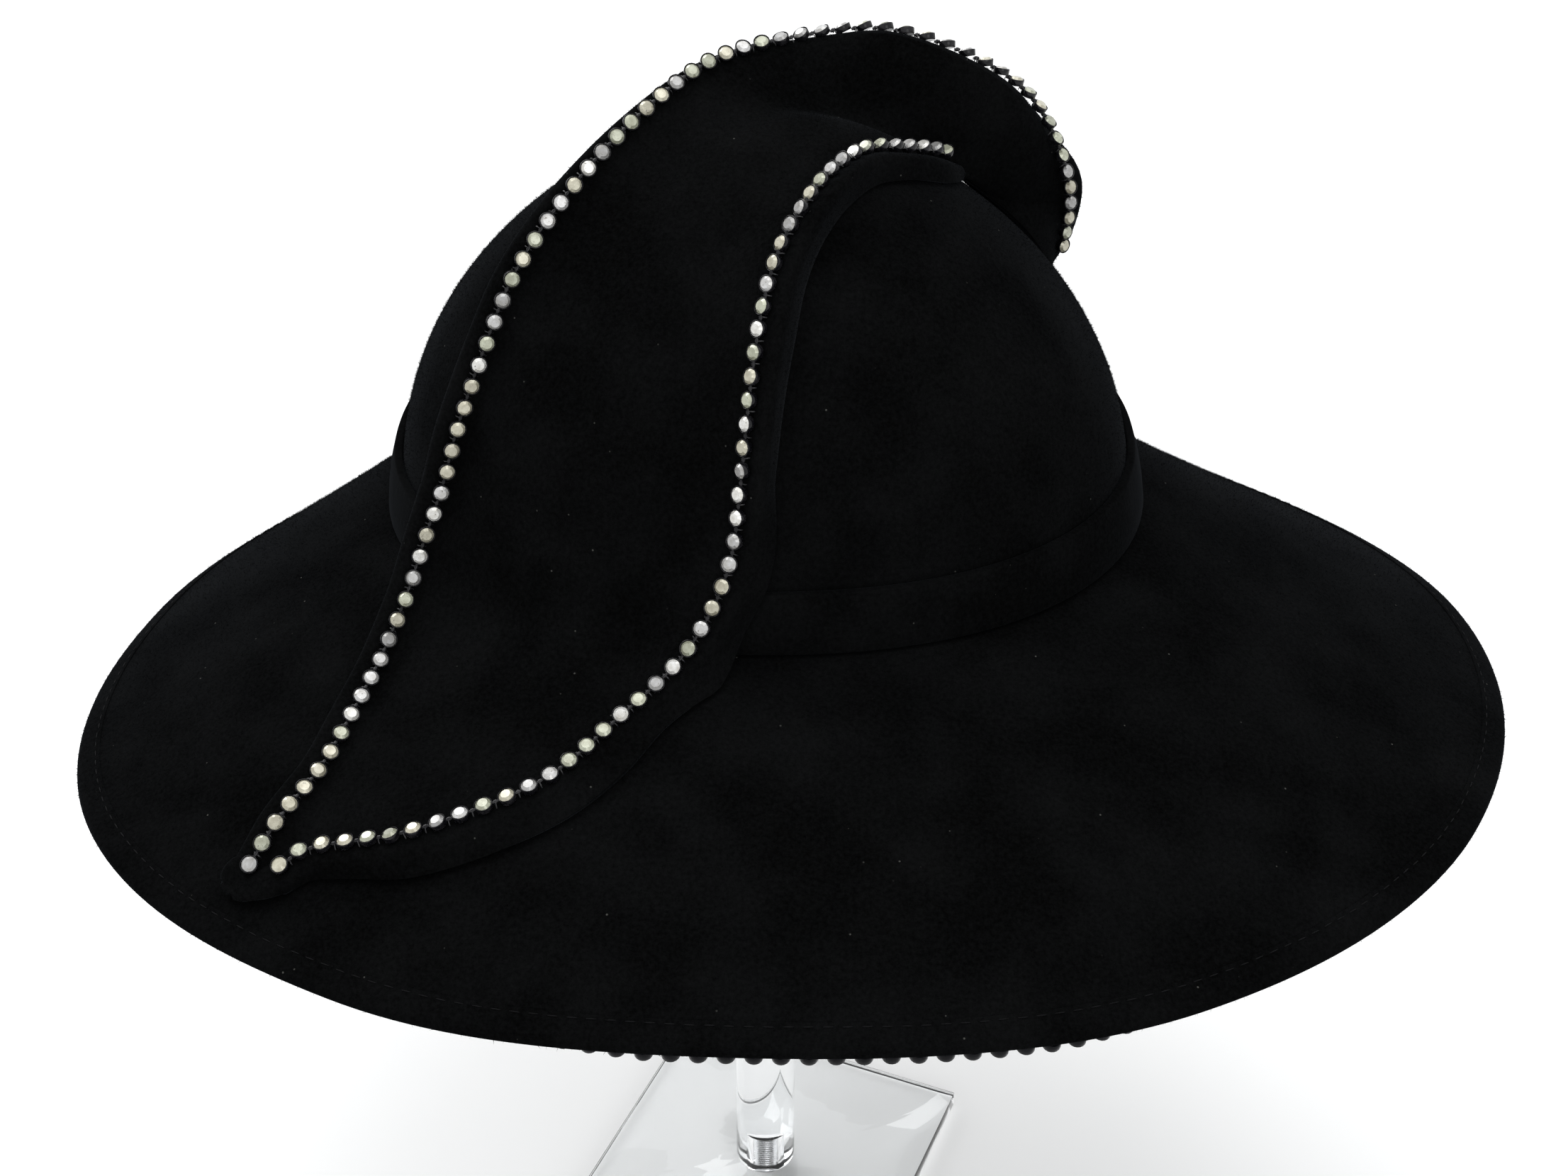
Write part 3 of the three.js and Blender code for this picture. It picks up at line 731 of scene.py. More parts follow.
class Sheet:
    """Places and links shader nodes in one node tree."""

    def __init__(self, tree: bpy.types.NodeTree) -> None:
        """Work on a node tree."""
        self.tree = tree

    def node(self, kind: str, **values: object) -> bpy.types.Node:
        """Place a node.

        Args:
            kind: Type name of the node, without its prefix.
            values: Attributes of the node, or with a leading capital its input sockets.

        Returns:
            The node.
        """
        node = self.tree.nodes.new(kind)
        for name, value in values.items():
            if name[0].isupper():
                node.inputs[name.replace("_", " ")].default_value = value
            else:
                setattr(node, name, value)
        return node

    def link(self, source: bpy.types.NodeSocket, target: bpy.types.NodeSocket) -> None:
        """Link two sockets."""
        self.tree.links.new(source, target)

    def texture(
        self, coords: bpy.types.NodeSocket, scale: float, detail: float = 2
    ) -> bpy.types.NodeSocket:
        """Noise over the surface.

        Args:
            coords: Coordinates in metres.
            scale: Waves for each metre.
            detail: Octaves.

        Returns:
            The noise from 0 to 1.
        """
        node = self.node("ShaderNodeTexNoise", Scale=scale, Detail=detail, Roughness=0.6)
        self.link(coords, node.inputs["Vector"])
        return node.outputs["Fac"]

    def ramp(self, source: bpy.types.NodeSocket, low: float, high: float) -> bpy.types.NodeSocket:
        """Stretch the values between two limits to 0 and 1.

        Args:
            source: The values.
            low: Value that becomes 0.
            high: Value that becomes 1.

        Returns:
            The stretched values.
        """
        node = self.node("ShaderNodeMapRange", clamp=True, From_Min=low, From_Max=high)
        self.link(source, node.inputs["Value"])
        return node.outputs["Result"]

    def mix(
        self, factor: bpy.types.NodeSocket, first: Sequence[float], second: Sequence[float]
    ) -> bpy.types.NodeSocket:
        """Blend two colours.

        Args:
            factor: Share of the second colour.
            first: First colour.
            second: Second colour.

        Returns:
            The blend.
        """
        return self.blend(factor, self.colour(first), self.colour(second))

    def colour(self, value: Sequence[float]) -> bpy.types.NodeSocket:
        """One plain colour."""
        node = self.node("ShaderNodeRGB")
        node.outputs[0].default_value = (*value, 1)
        return node.outputs[0]

    def blend(
        self,
        factor: bpy.types.NodeSocket | None,
        first: bpy.types.NodeSocket,
        second: bpy.types.NodeSocket,
        mode: str = "MIX",
    ) -> bpy.types.NodeSocket:
        """Blend two colours that come from other nodes.

        Args:
            factor: Share of the second colour, or None for all of it.
            first: First colour.
            second: Second colour.
            mode: How they are blended.

        Returns:
            The blend.
        """
        node = self.node("ShaderNodeMix", data_type="RGBA", blend_type=mode)
        if factor is None:
            node.inputs["Factor"].default_value = 1
        else:
            self.link(factor, node.inputs["Factor"])
        self.link(first, node.inputs["A"])
        self.link(second, node.inputs["B"])
        return node.outputs["Result"]


def effect_group(
    name: str, inputs: Iterable[tuple[str, float]], outputs: Iterable[str]
) -> tuple[bpy.types.NodeTree, Sheet, bpy.types.Node, bpy.types.Node]:
    """Start a shader node group with named sockets.

    Args:
        name: Name of the group.
        inputs: Names and standard values of its inputs.
        outputs: Names of its outputs.

    Returns:
        The group, a sheet on it, its input node and its output node.
    """
    group = bpy.data.node_groups.new(name, "ShaderNodeTree")
    for label, value in inputs:
        socket = group.interface.new_socket(label, in_out="INPUT", socket_type="NodeSocketFloat")
        socket.default_value = value
    for label in outputs:
        group.interface.new_socket(label, in_out="OUTPUT", socket_type="NodeSocketFloat")
    sheet = Sheet(group)
    return group, sheet, sheet.node("NodeGroupInput"), sheet.node("NodeGroupOutput")


def felted_group() -> bpy.types.NodeTree:
    """Matted fibres: short strands, soft blotches and a few pale specks of lint."""
    inputs = (("Fibres", 900.0), ("Blotches", 40.0), ("Specks", 230.0))
    group, sheet, source, result = effect_group("felted", inputs, ("Shade", "Speck", "Height"))
    coords = sheet.node("ShaderNodeTexCoord").outputs["Object"]
    fibres = sheet.node("ShaderNodeTexNoise", Detail=3.0, Roughness=0.7)
    blotches = sheet.node("ShaderNodeTexNoise", Detail=2.0, Roughness=0.5)
    strands = sheet.node("ShaderNodeTexNoise", Detail=1.0, Roughness=0.5, Distortion=1.5)
    dots = sheet.node("ShaderNodeTexVoronoi", feature="F1")
    third = sheet.node("ShaderNodeMath", operation="MULTIPLY")
    third.inputs[1].default_value = 0.3
    sheet.link(source.outputs["Fibres"], third.inputs[0])
    for node, scale in (
        (fibres, source.outputs["Fibres"]),
        (strands, third.outputs[0]),
        (blotches, source.outputs["Blotches"]),
        (dots, source.outputs["Specks"]),
    ):
        sheet.link(coords, node.inputs["Vector"])
        sheet.link(scale, node.inputs["Scale"])
    shade = sheet.node("ShaderNodeMix", data_type="FLOAT", Factor=0.45)
    sheet.link(sheet.ramp(fibres.outputs["Fac"], 0.3, 0.75), shade.inputs["A"])
    sheet.link(sheet.ramp(blotches.outputs["Fac"], 0.35, 0.7), shade.inputs["B"])
    speck = sheet.node("ShaderNodeMath", operation="MULTIPLY")
    sheet.link(sheet.ramp(dots.outputs["Distance"], 0.07, 0.03), speck.inputs[0])
    sheet.link(sheet.ramp(dots.outputs["Color"], 0.72, 0.78), speck.inputs[1])
    height = sheet.node("ShaderNodeMix", data_type="FLOAT", Factor=0.4)
    sheet.link(fibres.outputs["Fac"], height.inputs["A"])
    sheet.link(strands.outputs["Fac"], height.inputs["B"])
    sheet.link(shade.outputs["Result"], result.inputs["Shade"])
    sheet.link(speck.outputs[0], result.inputs["Speck"])
    sheet.link(height.outputs["Result"], result.inputs["Height"])
    return group


def handled_group() -> bpy.types.NodeTree:
    """Handling marks on a smooth surface: smears and fine scratches."""
    inputs = (("Smears", 60.0), ("Scratches", 700.0))
    group, sheet, source, result = effect_group("handled", inputs, ("Mark", "Height"))
    coords = sheet.node("ShaderNodeTexCoord").outputs["Object"]
    smears = sheet.node("ShaderNodeTexNoise", Detail=3.0, Roughness=0.6)
    stretch = sheet.node("ShaderNodeMapping", vector_type="POINT")
    stretch.inputs["Scale"].default_value = (1, 0.08, 1)
    scratches = sheet.node("ShaderNodeTexNoise", Detail=2.0, Roughness=0.8)
    sheet.link(coords, smears.inputs["Vector"])
    sheet.link(coords, stretch.inputs["Vector"])
    sheet.link(stretch.outputs["Vector"], scratches.inputs["Vector"])
    sheet.link(source.outputs["Smears"], smears.inputs["Scale"])
    sheet.link(source.outputs["Scratches"], scratches.inputs["Scale"])
    lines = sheet.ramp(scratches.outputs["Fac"], 0.62, 0.7)
    mark = sheet.node("ShaderNodeMath", operation="MAXIMUM")
    sheet.link(sheet.ramp(smears.outputs["Fac"], 0.45, 0.75), mark.inputs[0])
    sheet.link(lines, mark.inputs[1])
    sheet.link(mark.outputs[0], result.inputs["Mark"])
    sheet.link(scratches.outputs["Fac"], result.inputs["Height"])
    return group


class Effects:
    """Shader groups that several finishes share."""

    def __init__(self) -> None:
        """Build each group once."""
        self.felted = felted_group()
        self.handled = handled_group()


def start_material(
    name: str, **constants: object
) -> tuple[bpy.types.Material, Sheet, bpy.types.Node]:
    """Start a material on one Principled shader.

    Args:
        name: Name of the material.
        constants: Values of the shader's sockets, with underscores for spaces.

    Returns:
        The material, a sheet on it and the shader.
    """
    material = bpy.data.materials.new(name)
    material.use_nodes = True
    sheet = Sheet(material.node_tree)
    shader = material.node_tree.nodes["Principled BSDF"]
    for socket, value in constants.items():
        shader.inputs[socket.replace("_", " ")].default_value = value
    return material, sheet, shader


def roughen(
    sheet: Sheet,
    shader: bpy.types.Node,
    source: bpy.types.NodeSocket,
    least: float,
    most: float,
) -> None:
    """Let a value from 0 to 1 set how rough a shader is.

    Args:
        sheet: Sheet of the material.
        shader: Its shader.
        source: The value.
        least: Roughness at 0.
        most: Roughness at 1.
    """
    rough = sheet.node("ShaderNodeMapRange", To_Min=least, To_Max=most)
    sheet.link(source, rough.inputs["Value"])
    sheet.link(rough.outputs["Result"], shader.inputs["Roughness"])


def marked(
    sheet: Sheet,
    shader: bpy.types.Node,
    effects: Effects,
    roughness: tuple[float, float],
    **scales: float,
) -> bpy.types.NodeSocket:
    """Put handling marks on a shader.

    Args:
        sheet: Sheet of the material.
        shader: Its shader.
        effects: Shared shader groups.
        roughness: Roughness off the marks and on them.
        scales: Inputs of the group of marks.

    Returns:
        The marks, from 0 to 1.
    """
    handled = sheet.node("ShaderNodeGroup", node_tree=effects.handled, **scales)
    roughen(sheet, shader, handled.outputs["Mark"], *roughness)
    return handled.outputs["Mark"]


def raised(
    sheet: Sheet,
    shader: bpy.types.Node,
    source: bpy.types.NodeSocket,
    strength: float,
    distance: float,
) -> None:
    """Give a shader a fine relief.

    Args:
        sheet: Sheet of the material.
        shader: Its shader.
        source: Heights from 0 to 1.
        strength: Share of the relief that shows.
        distance: Height of the relief, in metres.
    """
    bump = sheet.node("ShaderNodeBump", Strength=strength, Distance=distance)
    sheet.link(source, bump.inputs["Height"])
    sheet.link(bump.outputs["Normal"], shader.inputs["Normal"])


@dataclass(frozen=True)
class FeltFinish:
    """Black felt with a few pale specks of lint."""

    name: str = "black_felt"
    dark: tuple[float, float, float] = (0.001, 0.001, 0.001)
    pale: tuple[float, float, float] = (0.0046, 0.0048, 0.005)
    lint: tuple[float, float, float] = (0.05, 0.05, 0.046)
    sheen: float = 0.018
    relief: float = 0.00025

    def material(self, effects: Effects) -> bpy.types.Material:
        """Make the material.

        Args:
            effects: Shared shader groups.

        Returns:
            The material.
        """
        material, sheet, shader = start_material(
            self.name,
            Roughness=0.95,
            Sheen_Weight=self.sheen,
            Sheen_Roughness=0.35,
            Sheen_Tint=(0.8, 0.88, 1, 1),
            Specular_IOR_Level=0.0,
        )
        felted = sheet.node("ShaderNodeGroup", node_tree=effects.felted)
        colour = sheet.mix(felted.outputs["Shade"], self.dark, self.pale)
        dusted = sheet.blend(felted.outputs["Speck"], colour, sheet.colour(self.lint))
        sheet.link(dusted, shader.inputs["Base Color"])
        raised(sheet, shader, felted.outputs["Height"], 0.7, self.relief)
        return material


@dataclass(frozen=True)
class ThreadFinish:
    """Black sewing thread, a little glossy."""

    name: str = "black_thread"
    dark: tuple[float, float, float] = (0.004, 0.004, 0.005)
    pale: tuple[float, float, float] = (0.012, 0.012, 0.014)
    roughness: float = 0.32
    gloss: float = 0.3
    fibres: float = 2400
    blotches: float = 260
    relief: float = 0.0001

    def material(self, effects: Effects) -> bpy.types.Material:
        """Make the material.

        Args:
            effects: Shared shader groups.

        Returns:
            The material.
        """
        material, sheet, shader = start_material(
            self.name, Roughness=self.roughness, Specular_IOR_Level=self.gloss
        )
        felted = sheet.node(
            "ShaderNodeGroup", node_tree=effects.felted, Fibres=self.fibres, Blotches=self.blotches
        )
        colour = sheet.mix(felted.outputs["Shade"], self.dark, self.pale)
        sheet.link(colour, shader.inputs["Base Color"])
        raised(sheet, shader, felted.outputs["Height"], 0.5, self.relief)
        return material


@dataclass(frozen=True)
class CupFinish:
    """Blackened cups, glossy, rubbed a little at random."""

    name: str = "black_cup"
    fresh: tuple[float, float, float] = (0.003, 0.003, 0.004)
    rubbed: tuple[float, float, float] = (0.02, 0.019, 0.021)
    roughness: tuple[float, float] = (0.14, 0.38)
    specular: float = 0.22
    coat: float = 0.06

    def material(self, effects: Effects) -> bpy.types.Material:
        """Make the material.

        Args:
            effects: Shared shader groups.

        Returns:
            The material.
        """
        material, sheet, shader = start_material(
            self.name,
            Metallic=0.1,
            Coat_Weight=self.coat,
            Coat_Roughness=0.1,
            Specular_IOR_Level=self.specular,
        )
        mark = marked(sheet, shader, effects, self.roughness, Smears=420, Scratches=2600)
        sheet.link(sheet.mix(mark, self.fresh, self.rubbed), shader.inputs["Base Color"])
        return material


@dataclass(frozen=True)
class StoneFinish:
    """Old foiled glass stones, each in its own tint."""

    name: str = "foiled_stone"
    foil_spots: float = 1500
    cloud: float = 520
    clouded: tuple[float, float, float] = (0.62, 0.6, 0.56)
    spot: tuple[float, float, float] = (0.12, 0.11, 0.09)
    roughness: tuple[float, float] = (0.16, 0.4)

    def material(self, effects: Effects) -> bpy.types.Material:
        """Make the material.

        Args:
            effects: Shared shader groups.

        Returns:
            The material.
        """
        material, sheet, shader = start_material(
            self.name, Coat_Weight=0.8, Coat_Roughness=0.05, Coat_IOR=1.5, Metallic=0.3
        )
        coords = sheet.node("ShaderNodeTexCoord").outputs["Object"]
        tint = sheet.node("ShaderNodeAttribute", attribute_name="tint").outputs["Color"]
        cloud = sheet.ramp(sheet.texture(coords, self.cloud, 3), 0.3, 0.72)
        shade = sheet.mix(cloud, self.clouded, (1, 1, 1))
        aged = sheet.blend(None, tint, shade, "MULTIPLY")
        spots = sheet.ramp(sheet.texture(coords, self.foil_spots, 2), 0.66, 0.72)
        spotted = sheet.blend(spots, aged, sheet.colour(self.spot))
        sheet.link(spotted, shader.inputs["Base Color"])
        marked(sheet, shader, effects, self.roughness, Smears=900, Scratches=3000)
        return material


@dataclass(frozen=True)
class AcrylicFinish:
    """Clear acrylic with faint handling marks."""

    name: str = "clear_acrylic"
    tint: tuple[float, float, float] = (0.97, 0.98, 0.985)
    roughness: tuple[float, float] = (0.0, 0.07)
    shadow: float = 0.08

    def material(self, effects: Effects) -> bpy.types.Material:
        """Make the material.

        Args:
            effects: Shared shader groups.

        Returns:
            The material.
        """
        material, sheet, shader = start_material(
            self.name, Transmission_Weight=1.0, IOR=1.49, Metallic=0.0, Base_Color=(*self.tint, 1)
        )
        marked(sheet, shader, effects, self.roughness)
        solid = sheet.node("ShaderNodeMapRange", To_Min=1, To_Max=self.shadow)
        path = sheet.node("ShaderNodeLightPath")
        sheet.link(path.outputs["Is Shadow Ray"], solid.inputs["Value"])
        sheet.link(solid.outputs["Result"], shader.inputs["Alpha"])
        return material


@dataclass(frozen=True)
class SteelFinish:
    """Turned steel of the stand's screw."""

    name: str = "turned_steel"
    bright: tuple[float, float, float] = (0.86, 0.86, 0.87)
    dull: tuple[float, float, float] = (0.7, 0.7, 0.71)
    roughness: tuple[float, float] = (0.22, 0.45)

    def material(self, effects: Effects) -> bpy.types.Material:
        """Make the material.

        Args:
            effects: Shared shader groups.

        Returns:
            The material.
        """
        material, sheet, shader = start_material(self.name, Metallic=1.0)
        mark = marked(sheet, shader, effects, self.roughness, Smears=300)
        sheet.link(sheet.mix(mark, self.bright, self.dull), shader.inputs["Base Color"])
        return material


# Felt pieces


@dataclass
class Crown:
    """Felt dome, open below."""

    columns: int = 168
    steps: int = 44
    foot_round: float = 0.5
    unevenness: float = 0.35
    wave_length: float = 45

    def place(self, across: float, along: float) -> Vector:
        """Point of the dome's two walls.

        Args:
            across: Part of the turn.
            along: From 0 at the inner pole over the foot to 1 at the outer pole.

        Returns:
            The point.
        """
        turn = FULL_TURN * across
        row = round(along * (2 * self.steps + 1))
        is_outer = row > self.steps
        share = (row - self.steps - 1 if is_outer else self.steps - row) / self.steps
        height = math.sin(share * math.pi / 2) ** (2 / HAT.dome_power)
        point = HAT.crown(turn, min(1.0, height))
        blocked = noise.noise(point / self.wave_length) * self.unevenness
        free = min(1.0, max(0.0, (height - 0.2) / 0.15))
        middle = Vector((HAT.lean * height, 0, HAT.crown_base))
        point += (point - middle).normalized() * blocked * free
        if not is_outer:
            point.x = middle.x + (point.x - middle.x) * (1 - FELT / HAT.half_length)
            point.y *= 1 - FELT / HAT.half_width
            point.z -= height * FELT
        return point

    def build(self, felt: bpy.types.Material) -> None:
        """Make the crown."""
        mesh = wrap_grid(self.columns, 2 * self.steps + 1, self.place)
        soften(mesh, 60, self.foot_round)
        piece = build_piece("crown_felt", mesh, felt, Slot.FELT, replaces=("crown",))
        middle = Vector((HAT_SHIFT, 0, HAT.crown_base)) * MM
        Nap(density=1.5).build(
            "crown_nap",
            piece,
            felt,
            lambda face: face.normal.dot(face.calc_center_median() - middle) < 0,
        )


@dataclass
class Band:
    """Flat felt band round the foot of the crown."""

    columns: int = 168
    edge_round: float = 0.45
    belly: float = 0.12

    def corners(self) -> list[tuple[float, float]]:
        """Corners of its section as height on the crown and offset from it."""
        top = HAT.band_height / HAT.rise
        inner, outer = GAP, GAP + HAT.band_felt
        half = HAT.band_lean / 2
        return [
            (0, inner + HAT.band_lean),
            (0, outer + HAT.band_lean),
            (top * 0.35, outer + half * 1.3 + self.belly),
            (top * 0.7, outer + half * 0.6 + self.belly),
            (top, outer),
            (top, inner),
        ]

    def place(self, across: float, along: float) -> Vector:
        """Point of the band's surface.

        Args:
            across: Part of the turn.
            along: Part of the way round its section.

        Returns:
            The point.
        """
        corners = self.corners()
        height, offset = corners[round(along * len(corners)) % len(corners)]
        return HAT.crown(FULL_TURN * across, height, offset)

    def build(self, felt: bpy.types.Material) -> None:
        """Make the band."""
        mesh = wrap_grid(self.columns, len(self.corners()), self.place)
        soften(mesh, 40, self.edge_round, 3)
        build_piece("band_felt", mesh, felt, Slot.FELT, replaces=("hat_band",))


@dataclass
class Brim:
    """Wide felt brim whose edge is turned over and sewn."""

    columns: int = 288
    felt: float = 2.4
    hem_width: float = 6.8
    hem_lift: float = 0.3
    field_lift: float = -0.1
    field_steps: int = 30
    edge_steps: int = 8
    stitch_inset: float = 5.6
    stitch_pitch: float = 4.4
    unevenness: float = 0.45
    wave_length: float = 55

    def corners(self) -> list[tuple[str, float, float]]:
        """Corners of its section: what the second value counts, that value and the lift.

        The value is an offset from the crown, a part of the field or a distance from the edge.
        """
        radius = (self.felt + self.hem_lift) / 2
        middle = self.hem_lift - radius
        found = [("crown", -FELT, -self.felt), ("crown", -FELT, 0.0)]
        for step in range(self.field_steps + 1):
            part = step / self.field_steps
            found.append(("field", part, self.field_lift * min(1.0, part * 12)))
        found += [("edge", self.hem_width - 0.12, self.field_lift + 0.02)]
        found += [("edge", self.hem_width - 0.22, self.hem_lift - 0.12)]
        found += [("edge", self.hem_width - 0.5, self.hem_lift)]
        found += [("edge", self.stitch_inset, self.hem_lift - 0.1)]
        found += [("edge", 4.4, self.hem_lift), ("edge", 3.0, self.hem_lift)]
        for step in range(self.edge_steps + 1):
            angle = math.pi * (0.5 - step / self.edge_steps)
            distance = radius * (1 - math.cos(angle))
            found.append(("edge", distance, middle + radius * math.sin(angle)))
        found += [("edge", 3.4, -self.felt), ("edge", self.hem_width, -self.felt)]
        for step in range(self.field_steps - 1, -1, -1):
            found.append(("field", step / self.field_steps, -self.felt))
        return found

    def place(self, across: float, along: float) -> Vector:
        """Point of the brim's surface.

        Args:
            across: Part of the turn.
            along: Part of the way round its section.

        Returns:
            The point.
        """
        turn = FULL_TURN * across
        kind, value, lift = self.section[round(along * len(self.section)) % len(self.section)]
        if kind == "crown":
            point = HAT.crown(turn, 0, value)
            point.z = HAT.crown_base - GAP + lift
            return point
        width = HAT.brim_width(turn)
        part = 1 - value / width if kind == "edge" else value * (1 - self.hem_width / width)
        point = HAT.brim(turn, part)
        ripple = noise.noise(point / self.wave_length) * self.unevenness
        point.z += lift + ripple * min(1.0, part * 2)
        return point

    def build(self, felt: bpy.types.Material, thread: bpy.types.Material) -> None:
        """Make the brim and the stitches of its hem."""
        self.section = self.corners()
        mesh = wrap_grid(self.columns, len(self.section), self.place)
        piece = build_piece("brim_felt", mesh, felt, Slot.FELT, replaces=("brim",))
        Nap().build("brim_nap", piece, felt, lambda face: face.normal.z < -0.5)
        self.stitches(thread)

    def stitches(self, thread: bpy.types.Material) -> None:
        """Make the row of short stitches along the hem."""
        stitch = bmesh.new()
        bmesh.ops.create_uvsphere(stitch, u_segments=8, v_segments=6, radius=1)
        bmesh.ops.scale(stitch, verts=stitch.verts, vec=(1.35, 0.17, 0.15))
        cluster = Cluster(keep_as("stitch", stitch))
        rng = random.Random(SEED)
        for point, along, normal in edge_stations(self.stitch_inset, self.stitch_pitch):
            aside = along.cross(normal) * rng.uniform(-0.08, 0.08)
            ripple = noise.noise(point / self.wave_length) * self.unevenness
            lifted = point + normal * (self.hem_lift - 0.02) + aside + Vector((0, 0, ripple))
            cluster.add(frame_matrix(lifted, along + aside * 0.4, normal))
        build_piece("hem_stitches", cluster.mesh, thread, Slot.FELT)


def edge_stations(inset: float, pitch: float) -> list[tuple[Vector, Vector, Vector]]:
    """Even steps along the brim on its upper face.

    Args:
        inset: Distance from the brim's edge.
        pitch: Distance from step to step, changed a little to close the ring.

    Returns:
        Point, direction along the edge and normal of each step.
    """

    def at(turn: float, extra: float = 0) -> Vector:
        return HAT.brim(turn, 1 - (inset + extra) / HAT.brim_width(turn))

    samples = 720
    ring = [at(FULL_TURN * k / samples) for k in range(samples + 1)]
    walked = [0.0]
    for first, second in zip(ring, ring[1:]):
        walked.append(walked[-1] + (second - first).length)
    count = round(walked[-1] / pitch)
    found, sample = [], 0
    for step in range(count):
        goal = walked[-1] * step / count
        while walked[sample + 1] < goal:
            sample += 1
        part = (goal - walked[sample]) / (walked[sample + 1] - walked[sample])
        turn = FULL_TURN * (sample + part) / samples
        point = at(turn)
        along = (at(turn + 0.004) - at(turn - 0.004)).normalized()
        inward = (at(turn, 1.5) - at(turn, -1.5)).normalized()
        found.append((point, along, along.cross(inward).normalized()))
    return found


@dataclass
class Wave:
    """Long felt piece whose two edges stand up as folds that carry the stones."""

    stations: int = 150
    across: int = 52
    nose_steps: int = 10
    passes: int = 2
    edge_round: float = 0.55

    def lines(self) -> list[list[Vector]]:
        """Lines across the felt's middle, from the nose to the far end."""
        found = [WAVE.section(k / self.stations) for k in range(self.stations + 1)]
        for _ in range(self.passes):
            found = [
                [(a + b * 2 + c) / 4 for a, b, c in zip(*found[k - 1 : k + 2])]
                if 0 < k < len(found) - 1
                else line
                for k, line in enumerate(found)
            ]
        turns = [math.pi / 2 * k / self.nose_steps for k in range(self.nose_steps, 0, -1)]
        return [WAVE.nose_line(found[0], turn) for turn in turns] + found

    def build(self, felt: bpy.types.Material) -> None:
        """Make the wave."""
        lines = self.lines()
        last = len(lines) - 1

        def place(across: float, along: float) -> Vector:
            return smooth_path(lines[round(along * last)], across)

        mesh = wrap_grid(self.across, last, place)
        piece = build_piece("wave_felt", mesh, felt, Slot.FELT, replaces=("wave_ornament",))
        wall = piece.modifiers.new("wall", "SOLIDIFY")
        wall.thickness = WAVE.felt * MM
        wall.offset = 0
        rounding = piece.modifiers.new("rounding", "BEVEL")
        rounding.limit_method = "ANGLE"
        rounding.angle_limit = math.radians(55)
        rounding.width = self.edge_round * MM
        rounding.segments = 2
        Nap(density=1.4).build("wave_nap", piece, felt, lambda face: False)


